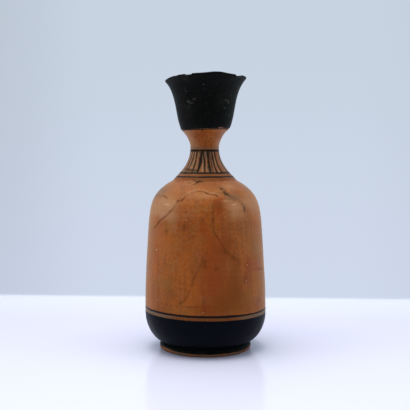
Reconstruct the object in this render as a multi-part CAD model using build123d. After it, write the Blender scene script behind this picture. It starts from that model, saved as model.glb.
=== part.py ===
from build123d import *
import os
from math import cos, radians, sin

# An oil flask with a calyx mouth: a nearly cylindrical body on a disc foot, a concave neck, a deep
# flaring mouth and a strap handle at the back. The sections are thrown and turned one by one, then
# luted together with beds of clay slip.
# Frame: the origin is the centre of the resting face, +Z is up and the handle is at +Y.
# Outlines are drawn as radius and height. Sizes are in millimetres, slopes and turns in degrees.

# Luting slip
SLIP = 0.4

# Foot
FOOT_RADIUS = 26.8
FOOT_HEIGHT = 3.6
FOOT_EDGE_BULGE = 0.9
FOOT_REST_WIDTH = 5.4
FOOT_HOLLOW = 1.4

# Body, from its flat base over the belly and the tapering wall to the seat of the neck
BODY_HEIGHT = 95.3
BODY_WALL = 3.4
BASE_RADIUS = 22.5
BELLY_RADIUS = 35.65
BELLY_RISE = 18.0
SHOULDER_DROP = 27.15
SHOULDER_TAPER = 2.3
SHOULDER_LEAN = 4.0
SHOULDER_FULLNESS = 1.37
SEAT_RADIUS = 18.0
SEAT_SLOPE = 27.3
OPENING_RADIUS = 11.0

# Neck, from its spigot and flared edge over the waist to the bed of the mouth
NECK_HEIGHT = 28.5
NECK_EDGE_RADIUS = 17.6
NECK_EDGE_HEIGHT = 0.6
NECK_EDGE_ROUND = 0.3
NECK_FLARE_SLOPE = 44.2
NECK_FLARE_FULLNESS = 1.16
NECK_WAIST_RADIUS = 8.3
NECK_WAIST_DROP = 9.7
NECK_TOP_RADIUS = 13.6
NECK_TOP_SLOPE = 28.0
NECK_TOP_FULLNESS = 0.75
SPIGOT_DEPTH = 4.6
SPIGOT_BORE_RADIUS = 7.4
THROAT_RADIUS = 5.0
THROAT_LENGTH = 21.0

# Mouth, from its base to the flat top of the lip
MOUTH_HEIGHT = 31.4
MOUTH_BASE_RADIUS = 14.0
MOUTH_BASE_SLOPE = 65.8
MOUTH_BASE_ROUND = 0.6
MOUTH_WALL = 3.4
MOUTH_FULLNESS = 0.91
MOUTH_FLOOR = 3.2
MOUTH_FLOOR_ROUND = 3.0
MOUTH_FUNNEL_RADIUS = 6.6
LIP_RADIUS = 23.55
LIP_SLOPE = 46.0
LIP_FLAT = 0.6
LIP_OUTER_ROUND = 0.9
LIP_INNER_ROUND = 2.4

# Handle, from the neck below the mouth out and down to the shoulder
HANDLE_DROP = 9.2
HANDLE_CLIMB = 20.0
HANDLE_REACH = 8.0
HANDLE_BEND_RADIUS = 8.0
HANDLE_BEND = 70.0
HANDLE_WIDTH = 10.4
HANDLE_END_WIDTH = 12.8
HANDLE_THICKNESS = 4.4

# Heights of the joints
body_base = FOOT_HEIGHT + SLIP
seat_height = body_base + BODY_HEIGHT
neck_base = seat_height + SLIP
neck_top = neck_base + NECK_HEIGHT
mouth_base = neck_top + SLIP
mouth_top = mouth_base + MOUTH_HEIGHT

# Points that a curve takes to follow another one at a distance, sections along the strap, and how
# near to a height an edge lies to count as being there
FOLLOWING_POINTS = 12
STRAP_SECTIONS = 16
SAME_HEIGHT = 0.01


def heading(angle):
    """A direction in an outline, counted from straight outward towards straight up."""
    return Vector(cos(radians(angle)), sin(radians(angle)))


def flowing(start, start_angle, end, end_angle, fullness=1.0):
    """A smooth curve between two points that leaves and arrives at the given angles."""
    directions = (heading(start_angle), heading(end_angle))
    return Spline(start, end, tangents=directions, tangent_scalars=(fullness, fullness))


def inside(curve, depth):
    """The curve at a depth inside a rising wall's curve, or outside it where the depth is negative."""
    spots = [step / FOLLOWING_POINTS for step in range(FOLLOWING_POINTS + 1)]
    points = [curve @ spot + (curve % spot).rotate(Axis.Z, 90) * depth for spot in spots]
    return Spline(*points, tangents=(curve % 0, curve % 1))


def filled(*curves):
    """The half section between a rising chain of curves and the axis."""
    low = curves[0] @ 0
    high = curves[-1] @ 1
    edges = [Line((0, low.Y), low), *curves, Line(high, (0, high.Y)), Line((0, high.Y), (0, low.Y))]
    return make_face(edges)


def band(inner_radius, outer_radius, low, high):
    """A rectangular half section."""
    corners = [(inner_radius, low), (outer_radius, low), (outer_radius, high), (inner_radius, high)]
    return make_face(Polyline(*corners, close=True))


def turned(face):
    """The solid that a half section makes on the wheel."""
    return revolve(Plane.XZ * face, Axis.Z)


def rounded_ring(piece, height, radius):
    """A turned piece with the widest of its round edges at one height rounded."""
    rings = piece.edges().filter_by(GeomType.CIRCLE)
    level_rings = [ring for ring in rings if abs(ring.center().Z - height) < SAME_HEIGHT]
    return fillet(max(level_rings, key=lambda ring: ring.radius), radius)


def body_curves():
    """The body's outside: the round of the base, the wall and the shoulder."""
    belly = Vector(BELLY_RADIUS, body_base + BELLY_RISE)
    shoulder = Vector(BELLY_RADIUS - SHOULDER_TAPER, seat_height - SHOULDER_DROP)
    seat = Vector(SEAT_RADIUS, seat_height)
    lean = 90 + SHOULDER_LEAN
    base_width = BELLY_RADIUS - BASE_RADIUS
    base = EllipticalCenterArc((BASE_RADIUS, belly.Y), base_width, BELLY_RISE, start_angle=-90, arc_size=90)
    wall = flowing(belly, 90, shoulder, lean)
    top = flowing(shoulder, lean, seat, 180 - SEAT_SLOPE, SHOULDER_FULLNESS)
    return [base, wall, top]


def shoulder_underside():
    """The height of the ceiling round the opening, inside the body."""
    return (inside(body_curves()[-1], BODY_WALL) @ 1).Y


def neck_curves():
    """The neck's outside: the flare up to the waist, and the spread up to the mouth."""
    edge = Vector(NECK_EDGE_RADIUS, neck_base + NECK_EDGE_HEIGHT)
    waist = Vector(NECK_WAIST_RADIUS, neck_top - NECK_WAIST_DROP)
    top = Vector(NECK_TOP_RADIUS, neck_top)
    flare = flowing(edge, 180 - NECK_FLARE_SLOPE, waist, 90, NECK_FLARE_FULLNESS)
    spread = flowing(waist, 90, top, NECK_TOP_SLOPE, NECK_TOP_FULLNESS)
    return [flare, spread]


def make_foot():
    """A disc with a rounded edge that rests on a ring round a shallow hollow."""
    rest_radius = FOOT_RADIUS - FOOT_EDGE_BULGE
    edge = ThreePointArc((rest_radius, 0), (FOOT_RADIUS, FOOT_HEIGHT / 2), (rest_radius, FOOT_HEIGHT))
    hollow = Polyline((0, 0), (rest_radius - FOOT_REST_WIDTH, 0), (0, FOOT_HOLLOW), close=True)
    return turned(filled(edge) - make_face(hollow))


def make_foot_slip():
    """The bed of slip under the flat of the body's base."""
    return turned(band(0, BASE_RADIUS, FOOT_HEIGHT, body_base))


def make_body():
    """The hollow wall with its floor, and the opening that takes the neck's spigot."""
    outside = body_curves()
    hollow = filled(*[inside(curve, BODY_WALL) for curve in outside])
    opening = band(0, OPENING_RADIUS, shoulder_underside(), seat_height)
    return turned(filled(*outside) - hollow - opening)


def make_neck_slip():
    """The bed of slip on the seat, wiped off from the neck's edge to the shoulder, and its sleeve."""
    spigot_radius = OPENING_RADIUS - SLIP
    wiped = Line((SEAT_RADIUS, seat_height), (NECK_EDGE_RADIUS, neck_base))
    bed = filled(wiped) - band(0, spigot_radius, seat_height, neck_base)
    sleeve = band(spigot_radius, OPENING_RADIUS, shoulder_underside(), seat_height)
    return turned(bed + sleeve)


def make_neck():
    """The concave tube with a flared edge, a spigot below and a straight throat."""
    edge_top = neck_base + NECK_EDGE_HEIGHT
    edge = Line((NECK_EDGE_RADIUS, neck_base), (NECK_EDGE_RADIUS, edge_top))
    spigot_end = neck_base - SPIGOT_DEPTH
    throat_low = neck_top - THROAT_LENGTH
    spigot = band(0, OPENING_RADIUS - SLIP, spigot_end, neck_base)
    throat = band(0, THROAT_RADIUS, throat_low, neck_top)
    funnel = filled(flowing((SPIGOT_BORE_RADIUS, spigot_end), 90, (THROAT_RADIUS, throat_low), 90))
    neck = turned(filled(edge, *neck_curves()) + spigot - throat - funnel)
    return rounded_ring(neck, edge_top, NECK_EDGE_ROUND)


def make_mouth_slip():
    """The ring of slip between the neck's upper end and the mouth."""
    return turned(band(THROAT_RADIUS + SLIP, NECK_TOP_RADIUS - SLIP, neck_top, mouth_base))


def make_mouth():
    """The calyx cup: a flaring wall with a crisp flat lip, and a floor that drains to the throat."""
    outer_centre = Vector(LIP_RADIUS - LIP_OUTER_ROUND, mouth_top - LIP_OUTER_ROUND)
    inner_centre = Vector(outer_centre.X - LIP_FLAT, mouth_top - LIP_INNER_ROUND)
    lip_outside = outer_centre + heading(LIP_SLOPE - 90) * LIP_OUTER_ROUND
    lip_inside = inner_centre + heading(LIP_SLOPE + 90) * LIP_INNER_ROUND
    outer_round = CenterArc(outer_centre, LIP_OUTER_ROUND, LIP_SLOPE - 90, 180 - LIP_SLOPE)
    inner_round = CenterArc(inner_centre, LIP_INNER_ROUND, 90, LIP_SLOPE)
    flat = Line(outer_round @ 1, inner_round @ 0)
    floor = mouth_base + MOUTH_FLOOR
    wall_foot = (MOUTH_BASE_RADIUS, mouth_base)
    cup_foot = (MOUTH_BASE_RADIUS - MOUTH_WALL, floor)
    wall = flowing(wall_foot, MOUTH_BASE_SLOPE, lip_outside, LIP_SLOPE, MOUTH_FULLNESS)
    cup = filled(flowing(cup_foot, MOUTH_BASE_SLOPE, lip_inside, LIP_SLOPE, MOUTH_FULLNESS))
    funnel = filled(Line((THROAT_RADIUS + SLIP, mouth_base), (MOUTH_FUNNEL_RADIUS, floor)))
    mouth = turned(filled(wall, outer_round, flat, inner_round) - cup - funnel)
    mouth = rounded_ring(mouth, floor, MOUTH_FLOOR_ROUND)
    return rounded_ring(mouth, mouth_base, MOUTH_BASE_ROUND)


def strap_path():
    """The middle line of the strap: out of the neck, over a tight bend and down in a long bow."""
    root_radius = (NECK_EDGE_RADIUS + BELLY_RADIUS - SHOULDER_TAPER) / 2
    turn_left = 90 + HANDLE_CLIMB - HANDLE_BEND
    start = Vector(0, neck_top - HANDLE_DROP)
    climb = Line(start, start + heading(HANDLE_CLIMB) * HANDLE_REACH)
    bend = JernArc(climb @ 1, climb % 1, HANDLE_BEND_RADIUS, -HANDLE_BEND)
    bow_radius = (root_radius - (bend @ 1).X) / (1 - cos(radians(turn_left)))
    bow = JernArc(bend @ 1, bend % 1, bow_radius, -turn_left)
    drop = Line(bow @ 1, (root_radius, seat_height - SHOULDER_DROP))
    return Wire([Plane.YZ * run for run in (climb, bend, bow, drop)])


def make_strap():
    """The whole pulled strap, from the neck's axis to deep in the body, before it is cut to fit."""
    path = strap_path()
    sections = []
    for step in range(STRAP_SECTIONS + 1):
        spot = step / STRAP_SECTIONS
        width = HANDLE_WIDTH + (HANDLE_END_WIDTH - HANDLE_WIDTH) * (2 * spot - 1) ** 2
        across = Plane(origin=path @ spot, x_dir=(1, 0, 0), z_dir=path % spot)
        sections.append(across * SlotOverall(width, HANDLE_THICKNESS))
    return loft(sections)


def make_handle_pieces():
    """The strap cut to the neck and shoulder, and the slip that each of its ends is bedded in."""
    strap = make_strap()
    neck = turned(filled(*neck_curves()))
    neck_and_slip = turned(filled(*[inside(curve, -SLIP) for curve in neck_curves()]))
    body = turned(filled(*body_curves()))
    body_and_slip = turned(filled(*[inside(curve, -SLIP) for curve in body_curves()]))
    handle = strap - neck_and_slip - body_and_slip
    top_slip = (strap & neck_and_slip) - neck
    root_slip = (strap & body_and_slip) - body
    return {"handle": handle, "handle_top_slip": top_slip, "handle_root_slip": root_slip}


pieces = {
    "foot": make_foot(),
    "foot_slip": make_foot_slip(),
    "body": make_body(),
    "neck_slip": make_neck_slip(),
    "neck": make_neck(),
    "mouth_slip": make_mouth_slip(),
    "mouth": make_mouth(),
    **make_handle_pieces(),
}

os.makedirs("parts", exist_ok=True)
for name, piece in pieces.items():
    export_step(piece, f"parts/{name}.step")
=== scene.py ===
# The looks of a worn, wheel-made oil flask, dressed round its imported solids.
# Each turned piece is a grid: rows follow an outline of radius and height, columns go round the axis.
# Lengths are in millimetres until a mesh is made. Angles are in degrees, 0 at the front (-Y) and growing
# towards +X. A painted edge is kept as a distance in millimetres, so that it stays sharp between points.
from math import cos, pi, radians, sin, tan
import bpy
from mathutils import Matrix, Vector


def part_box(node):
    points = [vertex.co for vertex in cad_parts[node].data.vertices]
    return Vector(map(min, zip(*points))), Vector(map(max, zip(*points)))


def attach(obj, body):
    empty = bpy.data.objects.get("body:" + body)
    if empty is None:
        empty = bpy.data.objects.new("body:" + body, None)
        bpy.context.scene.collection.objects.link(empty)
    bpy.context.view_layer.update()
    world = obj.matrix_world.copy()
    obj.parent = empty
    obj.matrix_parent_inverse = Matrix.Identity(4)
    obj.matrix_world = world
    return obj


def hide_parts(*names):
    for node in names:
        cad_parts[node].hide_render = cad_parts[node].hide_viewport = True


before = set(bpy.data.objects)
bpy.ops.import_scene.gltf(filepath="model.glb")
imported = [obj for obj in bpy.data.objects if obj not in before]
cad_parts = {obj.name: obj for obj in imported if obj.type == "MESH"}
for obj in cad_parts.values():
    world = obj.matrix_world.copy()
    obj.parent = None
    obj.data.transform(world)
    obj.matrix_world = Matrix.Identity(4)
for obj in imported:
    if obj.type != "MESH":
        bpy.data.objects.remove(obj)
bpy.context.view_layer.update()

from types import SimpleNamespace

import bpy
import numpy as np
from mathutils import Vector, noise
from mathutils.kdtree import KDTree

MM = 0.001


def reach(node):
    """A turned node's radius, base and top in millimetres."""
    low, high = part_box(node)
    return high.x / MM, low.z / MM, high.z / MM


# Sizes that the solids' boxes give
FOOT_RADIUS, FOOT_BASE, FOOT_TOP = reach("foot")
BASE_RADIUS, _, BODY_BASE = reach("foot_slip")
BELLY_RADIUS, _, SEAT_HEIGHT = reach("body")
SEAT_RADIUS, CEILING_HEIGHT, NECK_BASE = reach("neck_slip")
NECK_EDGE_RADIUS, SPIGOT_END, NECK_TOP = reach("neck")
MOUTH_BED_RADIUS, _, MOUTH_BASE = reach("mouth_slip")
LIP_RADIUS, _, MOUTH_TOP = reach("mouth")

# Sizes of the solids' outlines that no box gives
FOOT_EDGE_BULGE = 0.9
FOOT_REST_WIDTH = 5.4
FOOT_HOLLOW = 1.4
BODY_WALL = 3.4
BELLY_RISE = 18.0
SHOULDER_DROP = 27.15
SHOULDER_TAPER = 2.3
SHOULDER_LEAN = 4.0
SHOULDER_FULLNESS = 1.37
SEAT_SLOPE = 27.3
OPENING_RADIUS = 11.0
SPIGOT_RADIUS = 10.6
NECK_EDGE_HEIGHT = 0.6
NECK_FLARE_SLOPE = 44.2
NECK_FLARE_FULLNESS = 1.16
NECK_WAIST_RADIUS = 8.3
NECK_WAIST_DROP = 9.7
NECK_TOP_RADIUS = 13.6
NECK_TOP_SLOPE = 28.0
NECK_TOP_FULLNESS = 0.75
SPIGOT_BORE_RADIUS = 7.4
THROAT_RADIUS = 5.0
THROAT_LENGTH = 21.0
MOUTH_BASE_RADIUS = 14.0
MOUTH_BASE_SLOPE = 65.8
MOUTH_WALL = 3.4
MOUTH_FULLNESS = 0.91
MOUTH_FLOOR = 3.2
MOUTH_FUNNEL_RADIUS = 6.6
MOUTH_HOLE_RADIUS = 5.4
LIP_SLOPE = 46.0
LIP_FLAT = 0.6
LIP_OUTER_ROUND = 0.9
LIP_INNER_ROUND = 2.4
HANDLE_DROP = 9.2
HANDLE_CLIMB = 20.0
HANDLE_REACH = 8.0
HANDLE_BEND_RADIUS = 8.0
HANDLE_BEND = 70.0
HANDLE_WIDTH = 10.4
HANDLE_END_WIDTH = 12.8
HANDLE_THICKNESS = 4.4

# How far the wheel's work came out of true: shift of the axis to the right at heights, rise of the rim at
# angles, chips in the rim as angle, half width and depth, and the tilt of the mouth to the left
LEAN = (
    (0, -0.25), (4, -0.22), (8, -0.02), (18, -0.12), (30, -0.25), (50, -0.38), (100, -0.5), (118, -0.65),
    (126, -0.5), (130, -0.15), (136, -0.2), (150, -0.25), (160, -0.15),
)
RIM_WAVE = (
    (-130, -1.7), (-90, -1.8), (-74, -1.85), (-59, -1.3), (-41, -0.8), (-30, -0.7), (-17, -0.55),
    (-3, -0.5), (11, 0), (22, -0.15), (32, -0.8), (43, -1.3), (68, -1.4), (87, -1.5), (140, -1.8),
)
RIM_CHIPS = (
    (-25, 6, 0.5), (-47, 4, 0.2), (55, 8, 0.7), (120, 5, 0.5), (-150, 9, 0.6), (171, 3, 0.4),
)
MOUTH_TILT = 1.7
RIM_SOFTNESS = 5
# Shares of a chip's half width between which it runs out
CHIP_SIDES = (0.7, 1.05)
# Swells round the axis: depth, number, and the height that turns them by a radian
WOBBLE = ((0.1, 2, 31), (0.06, 3, -17))
# Radii or heights at which these set in, and at which they are whole
WOBBLE_RADII = (3, 12)
WAVE_HEIGHTS = (136, 157)
CHIP_HEIGHTS = (MOUTH_TOP - 1.8, MOUTH_TOP - 0.4)
TILT_HEIGHTS = (112, 130)

# Painted heights
FOOT_CLAY_TOP = 1.75
ZONE_TOP = 22.65
BODY_LINE = 24.9
NECK_LOW_LINE = 101.25
TONGUE_BASE = 103.45
TONGUE_TOP = 116.0
NECK_HIGH_LINE = 116.3

# Points that make up a curve, points at which a stretch of changing steps is measured, and angles at which
# a wave round the axis is
CURVE_POINTS = 240
FINE_POINTS = 4000
WAVE_ANGLES = np.arange(0, 360, 0.5)
TINY = 1e-6


def smooth(values, low, high):
    """0 up to low, 1 from high on, and a soft step between."""
    share = np.clip((values - low) / (high - low), 0, 1)
    return share * share * (3 - 2 * share)


def hump(values, middle, half_width):
    """1 at the middle, falling off softly on both sides."""
    return np.exp(-((values - middle) / half_width) ** 2)


def turn(angle):
    """Angles brought between -180 and 180."""
    return (angle + 180) % 360 - 180


# Outlines

def heading(angle):
    """A direction in an outline, counted from straight outward towards straight up."""
    return np.array([cos(radians(angle)), sin(radians(angle))])


def line(*points):
    """A chain of straight runs."""
    return np.array(points, float)


def arc(centre, half_width, half_height, start, end):
    """Part of an ellipse between two angles."""
    angles = np.radians(np.linspace(start, end, CURVE_POINTS))
    return np.stack([centre[0] + half_width * np.cos(angles), centre[1] + half_height * np.sin(angles)], 1)


def flowing(start, start_angle, end, end_angle, fullness=1.0):
    """A smooth curve that leaves and arrives at the given angles, as in the solids."""
    start = np.array(start, float)
    end = np.array(end, float)
    pull = fullness * np.linalg.norm(end - start)
    t = np.linspace(0, 1, CURVE_POINTS)[:, None]
    from_start = (2 * t ** 3 - 3 * t ** 2 + 1) * start
    from_start = from_start + (t ** 3 - 2 * t ** 2 + t) * pull * heading(start_angle)
    from_end = (3 * t ** 2 - 2 * t ** 3) * end + (t ** 3 - t ** 2) * pull * heading(end_angle)
    return from_start + from_end


def offset(curve, depth):
    """The curve moved to its left by a depth."""
    along = np.gradient(curve, axis=0)
    along /= np.linalg.norm(along, axis=1)[:, None]
    return curve + depth * np.stack([-along[:, 1], along[:, 0]], 1)


def spaced(points, step):
    """Points along a chain about one step apart. The step may be a function of the height."""
    lengths = np.linalg.norm(np.diff(points, axis=0), axis=1)
    if callable(step):
        fine = np.linspace(0, lengths.sum(), FINE_POINTS)
        travelled = np.concatenate([[0], np.cumsum(lengths)])
        points = np.stack([np.interp(fine, travelled, points[:, axis]) for axis in (0, 1)], 1)
        lengths = np.linalg.norm(np.diff(points, axis=0), axis=1)
        step = step((points[1:, 1] + points[:-1, 1]) / 2)
    counts = np.concatenate([[0], np.cumsum(lengths / step)])
    spots = np.linspace(0, counts[-1], max(int(round(counts[-1])), 1) + 1)
    return np.stack([np.interp(spots, counts, points[:, axis]) for axis in (0, 1)], 1)


def body_outside():
    """The body's round base, wall and shoulder."""
    belly = (BELLY_RADIUS, BODY_BASE + BELLY_RISE)
    shoulder = (BELLY_RADIUS - SHOULDER_TAPER, SEAT_HEIGHT - SHOULDER_DROP)
    lean = 90 + SHOULDER_LEAN
    base = arc((BASE_RADIUS, belly[1]), BELLY_RADIUS - BASE_RADIUS, BELLY_RISE, -90, 0)
    wall = flowing(belly, 90, shoulder, lean)
    top = flowing(shoulder, lean, (SEAT_RADIUS, SEAT_HEIGHT), 180 - SEAT_SLOPE, SHOULDER_FULLNESS)
    return np.concatenate([base, wall[1:], top[1:]])


def neck_outside():
    """The neck's flare from its edge up to the waist, and its spread up to the mouth."""
    waist = (NECK_WAIST_RADIUS, NECK_TOP - NECK_WAIST_DROP)
    edge = (NECK_EDGE_RADIUS, NECK_BASE + NECK_EDGE_HEIGHT)
    flare = flowing(edge, 180 - NECK_FLARE_SLOPE, waist, 90, NECK_FLARE_FULLNESS)
    spread = flowing(waist, 90, (NECK_TOP_RADIUS, NECK_TOP), NECK_TOP_SLOPE, NECK_TOP_FULLNESS)
    return np.concatenate([flare, spread[1:]])


# Grids

def even_columns(count):
    """Angles of columns at equal steps."""
    return np.linspace(-180, 180, count, endpoint=False)


def front_columns(half_front, front_count, back_count):
    """Angles of columns that stand closer round the front."""
    front_angles = np.linspace(-half_front, half_front, front_count, endpoint=False)
    back_angles = np.linspace(half_front, 360 - half_front, back_count, endpoint=False)
    return turn(np.concatenate([front_angles, back_angles]))


def turned(stretches, angles, ring=False):
    """A grid round the axis. A stretch is a chain of outline points, a step, and whether it is on show."""
    rows = []
    shown = []
    for points, step, on_show in stretches:
        part = spaced(points, step)[1 if rows else 0:]
        rows.extend(part)
        shown.extend([on_show] * len(part))
    if ring:
        rows.pop()
        shown.pop()
    outline = np.array(rows)
    shown = np.array(shown)
    steps = np.linalg.norm(np.diff(outline, axis=0), axis=1)
    path = np.concatenate([[0], np.cumsum(steps)])
    along = np.gradient(outline, axis=0)
    along /= np.maximum(np.linalg.norm(along, axis=1), TINY)[:, None]
    ones = np.ones((len(outline), len(angles)))
    theta = np.radians(angles)[None, :]
    radius = outline[:, :1] * ones
    height = outline[:, 1:] * ones
    place = np.stack([radius * np.sin(theta), -radius * np.cos(theta), height], 2)
    out = along[:, 1:] * ones
    outward = np.stack([out * np.sin(theta), -out * np.cos(theta), -along[:, :1] * ones], 2)
    return SimpleNamespace(outline=outline, path=path[:, None] * ones, angle=angles[None, :] * ones,
                           radius=radius, height=height, place=place, outward=outward,
                           shown=shown[:, None] * ones, shown_rows=shown, ring=ring, marks={})


def path_at(grid, height):
    """How far along its outline the part of a grid on show is at a height."""
    rows = grid.shown_rows
    return np.interp(height, grid.outline[rows, 1], grid.path[rows, 0])


def across(grid, angle):
    """Distance round the axis from an angle."""
    return np.radians(turn(grid.angle - angle)) * grid.radius


SEED_SHIFT = np.array([7.31, 3.17, 5.73])
TALL = 1e4


def lumps(grid, size, seed):
    """Soft noise from about -1 to 1, with lumps of the given size in mm, or of a size along each axis."""
    spots = grid.place.reshape(-1, 3) / np.array(size) + seed * SEED_SHIFT
    return np.array([noise.noise(spot) for spot in spots.tolist()]).reshape(grid.height.shape)


def upright(size):
    """The size of lumps that change round the axis and not with the height."""
    return size, size, TALL


def rough(grid, layers):
    """A sum of noises, each with a strength, a lump size and a seed."""
    return sum(strength * lumps(grid, size, seed) for strength, size, seed in layers)


def swells(grid, rows):
    """A sum of soft humps round the axis, each with a height, an angle and a half width in degrees."""
    return sum(height * hump(grid.angle, angle, half_width) for height, angle, half_width in rows)


def press(grid, push):
    """Moves the points of a grid outward by a push in mm."""
    grid.place = grid.place + grid.outward * push[..., None]


def blots(grid, spots):
    """Soft spots, each with an angle, a height, a half width, a half height and a strength."""
    total = np.zeros_like(grid.height)
    for angle, height, half_width, half_height, strength in spots:
        aside = across(grid, angle) / half_width
        above = (grid.path - path_at(grid, height)) / half_height
        total += strength * np.exp(-aside ** 2 - above ** 2)
    return total * grid.shown


# How far from its edge a painted distance is followed, and a share of a width that is far from any crack
PAINT_REACH = 3
NO_CRACK = 9
SHARES = ("ink", "stain", "ruddy", "tanned", "orange", "dusky", "bloom", "grime", "pale", "wear", "wash")


def marks_of(grid, **fields):
    """The painted fields of a piece, bare where none is given.

    Glaze is a distance from the edge of the paint, crack a share of a crack's half width.
    """
    bare = {"glaze": -PAINT_REACH, "crack": NO_CRACK, **dict.fromkeys(SHARES, 0)}
    return {name: np.zeros_like(grid.height) + fields.get(name, plain) for name, plain in bare.items()}


def paint(grid, distance, hidden=-PAINT_REACH):
    """A painted distance where a grid is on show, and another value where it isn't."""
    return np.where(grid.shown > 0, np.clip(distance, -PAINT_REACH, PAINT_REACH), hidden)


def wave(angles, knots, softness):
    """A curve round the axis through the knots, rounded off over a softness in degrees."""
    spots, rises = np.array(sorted((spot % 360, rise) for spot, rise in knots)).T
    curve = np.interp(WAVE_ANGLES, spots, rises, period=360)
    kernel = hump(turn(WAVE_ANGLES), 0, softness)
    soft = np.fft.irfft(np.fft.rfft(curve) * np.fft.rfft(kernel / kernel.sum()))
    return np.interp(angles % 360, WAVE_ANGLES, soft, period=360)


def settled(place):
    """Points moved as the fired flask came out: a little off the axis, with a wavy rim."""
    x, y, height = place[..., 0], place[..., 1], place[..., 2]
    angle = np.degrees(np.arctan2(x, -y))
    theta = np.radians(angle)
    heights, shifts = np.array(LEAN).T
    wobble = sum(depth * np.sin(count * theta + height / pitch) for depth, count, pitch in WOBBLE)
    radius = np.maximum(np.hypot(x, y), TINY)
    swell = 1 + wobble * smooth(radius, *WOBBLE_RADII) / radius
    rise = wave(angle, RIM_WAVE, RIM_SOFTNESS) * smooth(height, *WAVE_HEIGHTS)
    for spot, half_width, depth in RIM_CHIPS:
        notch = 1 - smooth(np.abs(turn(angle - spot)) / half_width, *CHIP_SIDES)
        rise = rise - depth * notch * smooth(height, *CHIP_HEIGHTS)
    rise = rise + x * tan(radians(MOUTH_TILT)) * smooth(height, *TILT_HEIGHTS)
    return np.stack([x * swell + np.interp(height, heights, shifts), y * swell, height + rise], -1)


# Meshes

# How far inside the paint's edge a face takes the second material
DEEP_GLOSS = 0.1


def make_piece(name, grid, slot, *materials):
    """A mesh of a grid, riding on the flask and standing for the node of the same name.

    A second material goes on the faces that lie well inside the painted gloss. Rows at a pole are one point.
    """
    rows, columns = grid.height.shape
    poles = grid.outline[:, 0] < TINY
    sizes = np.where(poles, 1, columns)
    starts = np.concatenate([[0], np.cumsum(sizes)[:-1]])
    index = starts[:, None] + np.where(poles[:, None], 0, np.arange(columns)[None, :])
    keep = np.ones((rows, columns), bool)
    keep[poles, 1:] = False
    points = settled(grid.place)[keep] * MM

    lower = np.arange(rows if grid.ring else rows - 1)
    upper = (lower + 1) % rows
    here = np.arange(columns)
    beside = (here + 1) % columns
    left, right = here / columns, (here + 1) / columns
    rise = np.append(grid.path[:, 0] / grid.path[-1, 0] * (1 - 1 / rows if grid.ring else 1), 1.0)
    deep = grid.marks["glaze"] > DEEP_GLOSS
    faces = []
    spots = []
    painted = []
    for low, high in zip(lower, upper):
        corners = [(low, here), (low, beside), (high, beside), (high, here)]
        bottom, top = np.full(columns, rise[low]), np.full(columns, rise[low + 1])
        unrolled = np.stack([left, bottom, right, bottom, right, top, left, top], 1).reshape(columns, 4, 2)
        kept = [0, 2, 3] if poles[low] else [0, 1, 2] if poles[high] else [0, 1, 2, 3]
        faces.extend(np.stack([index[corners[number]] for number in kept], 1).tolist())
        spots.append(unrolled[:, kept].ravel())
        painted.append(np.all([deep[corner] for corner in corners], 0))
    mesh = bpy.data.meshes.new(name)
    mesh.from_pydata(points.tolist(), [], faces)
    mesh.polygons.foreach_set("use_smooth", np.ones(len(faces), bool))
    mesh.uv_layers.new(name="OFBake").data.foreach_set("uv", np.concatenate(spots))
    for mark, values in grid.marks.items():
        column = mesh.attributes.new(mark, "FLOAT", "POINT").data
        column.foreach_set("value", values[keep].astype(np.float32))
    for material in materials:
        mesh.materials.append(material)
    if len(materials) > 1:
        mesh.polygons.foreach_set("material_index", np.concatenate(painted).astype(np.int32))
    mesh.update()
    piece = bpy.data.objects.new(name + "_dressed", mesh)
    bpy.context.scene.collection.objects.link(piece)
    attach(piece, "root")
    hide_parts(name)


# Materials

# Places of the sockets in a node that mixes colours
MIX_SHARE = 0
MIX_FIRST = 6
MIX_SECOND = 7
MIX_RESULT = 2


class Nodes:
    """A tree of nodes, with short calls for the ones that the flask and its surroundings use."""

    def __init__(self, tree):
        self.tree = tree

    def add(self, kind, inputs=None, **settings):
        """A new node with its settings, and its inputs linked or set."""
        node = self.tree.nodes.new(kind)
        for key, value in settings.items():
            setattr(node, key, value)
        for key, value in (inputs or {}).items():
            self.put(value, node.inputs[key])
        return node

    def put(self, value, socket):
        """Links a socket to another one, or sets its value."""
        if isinstance(value, bpy.types.NodeSocket):
            self.tree.links.new(value, socket)
        elif isinstance(value, tuple) and len(value) == 3 and socket.type == "RGBA":
            socket.default_value = (*value, 1.0)
        else:
            socket.default_value = value

    def maths(self, kind, first, second=0.0, third=0.0):
        """A calculation with up to three values, of a kind that Blender names."""
        return self.add("ShaderNodeMath", {0: first, 1: second, 2: third}, operation=kind).outputs[0]

    def step(self, value, low, high, start=0.0, end=1.0):
        """A soft step from start to end as the value goes from low to high."""
        wanted = {"Value": value, "From Min": low, "From Max": high, "To Min": start, "To Max": end}
        return self.add("ShaderNodeMapRange", wanted, interpolation_type="SMOOTHSTEP").outputs["Result"]

    def mix(self, share, first, second):
        """A colour between two colours."""
        wanted = {MIX_SHARE: share, MIX_FIRST: first, MIX_SECOND: second}
        return self.add("ShaderNodeMix", wanted, data_type="RGBA").outputs[MIX_RESULT]


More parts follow.
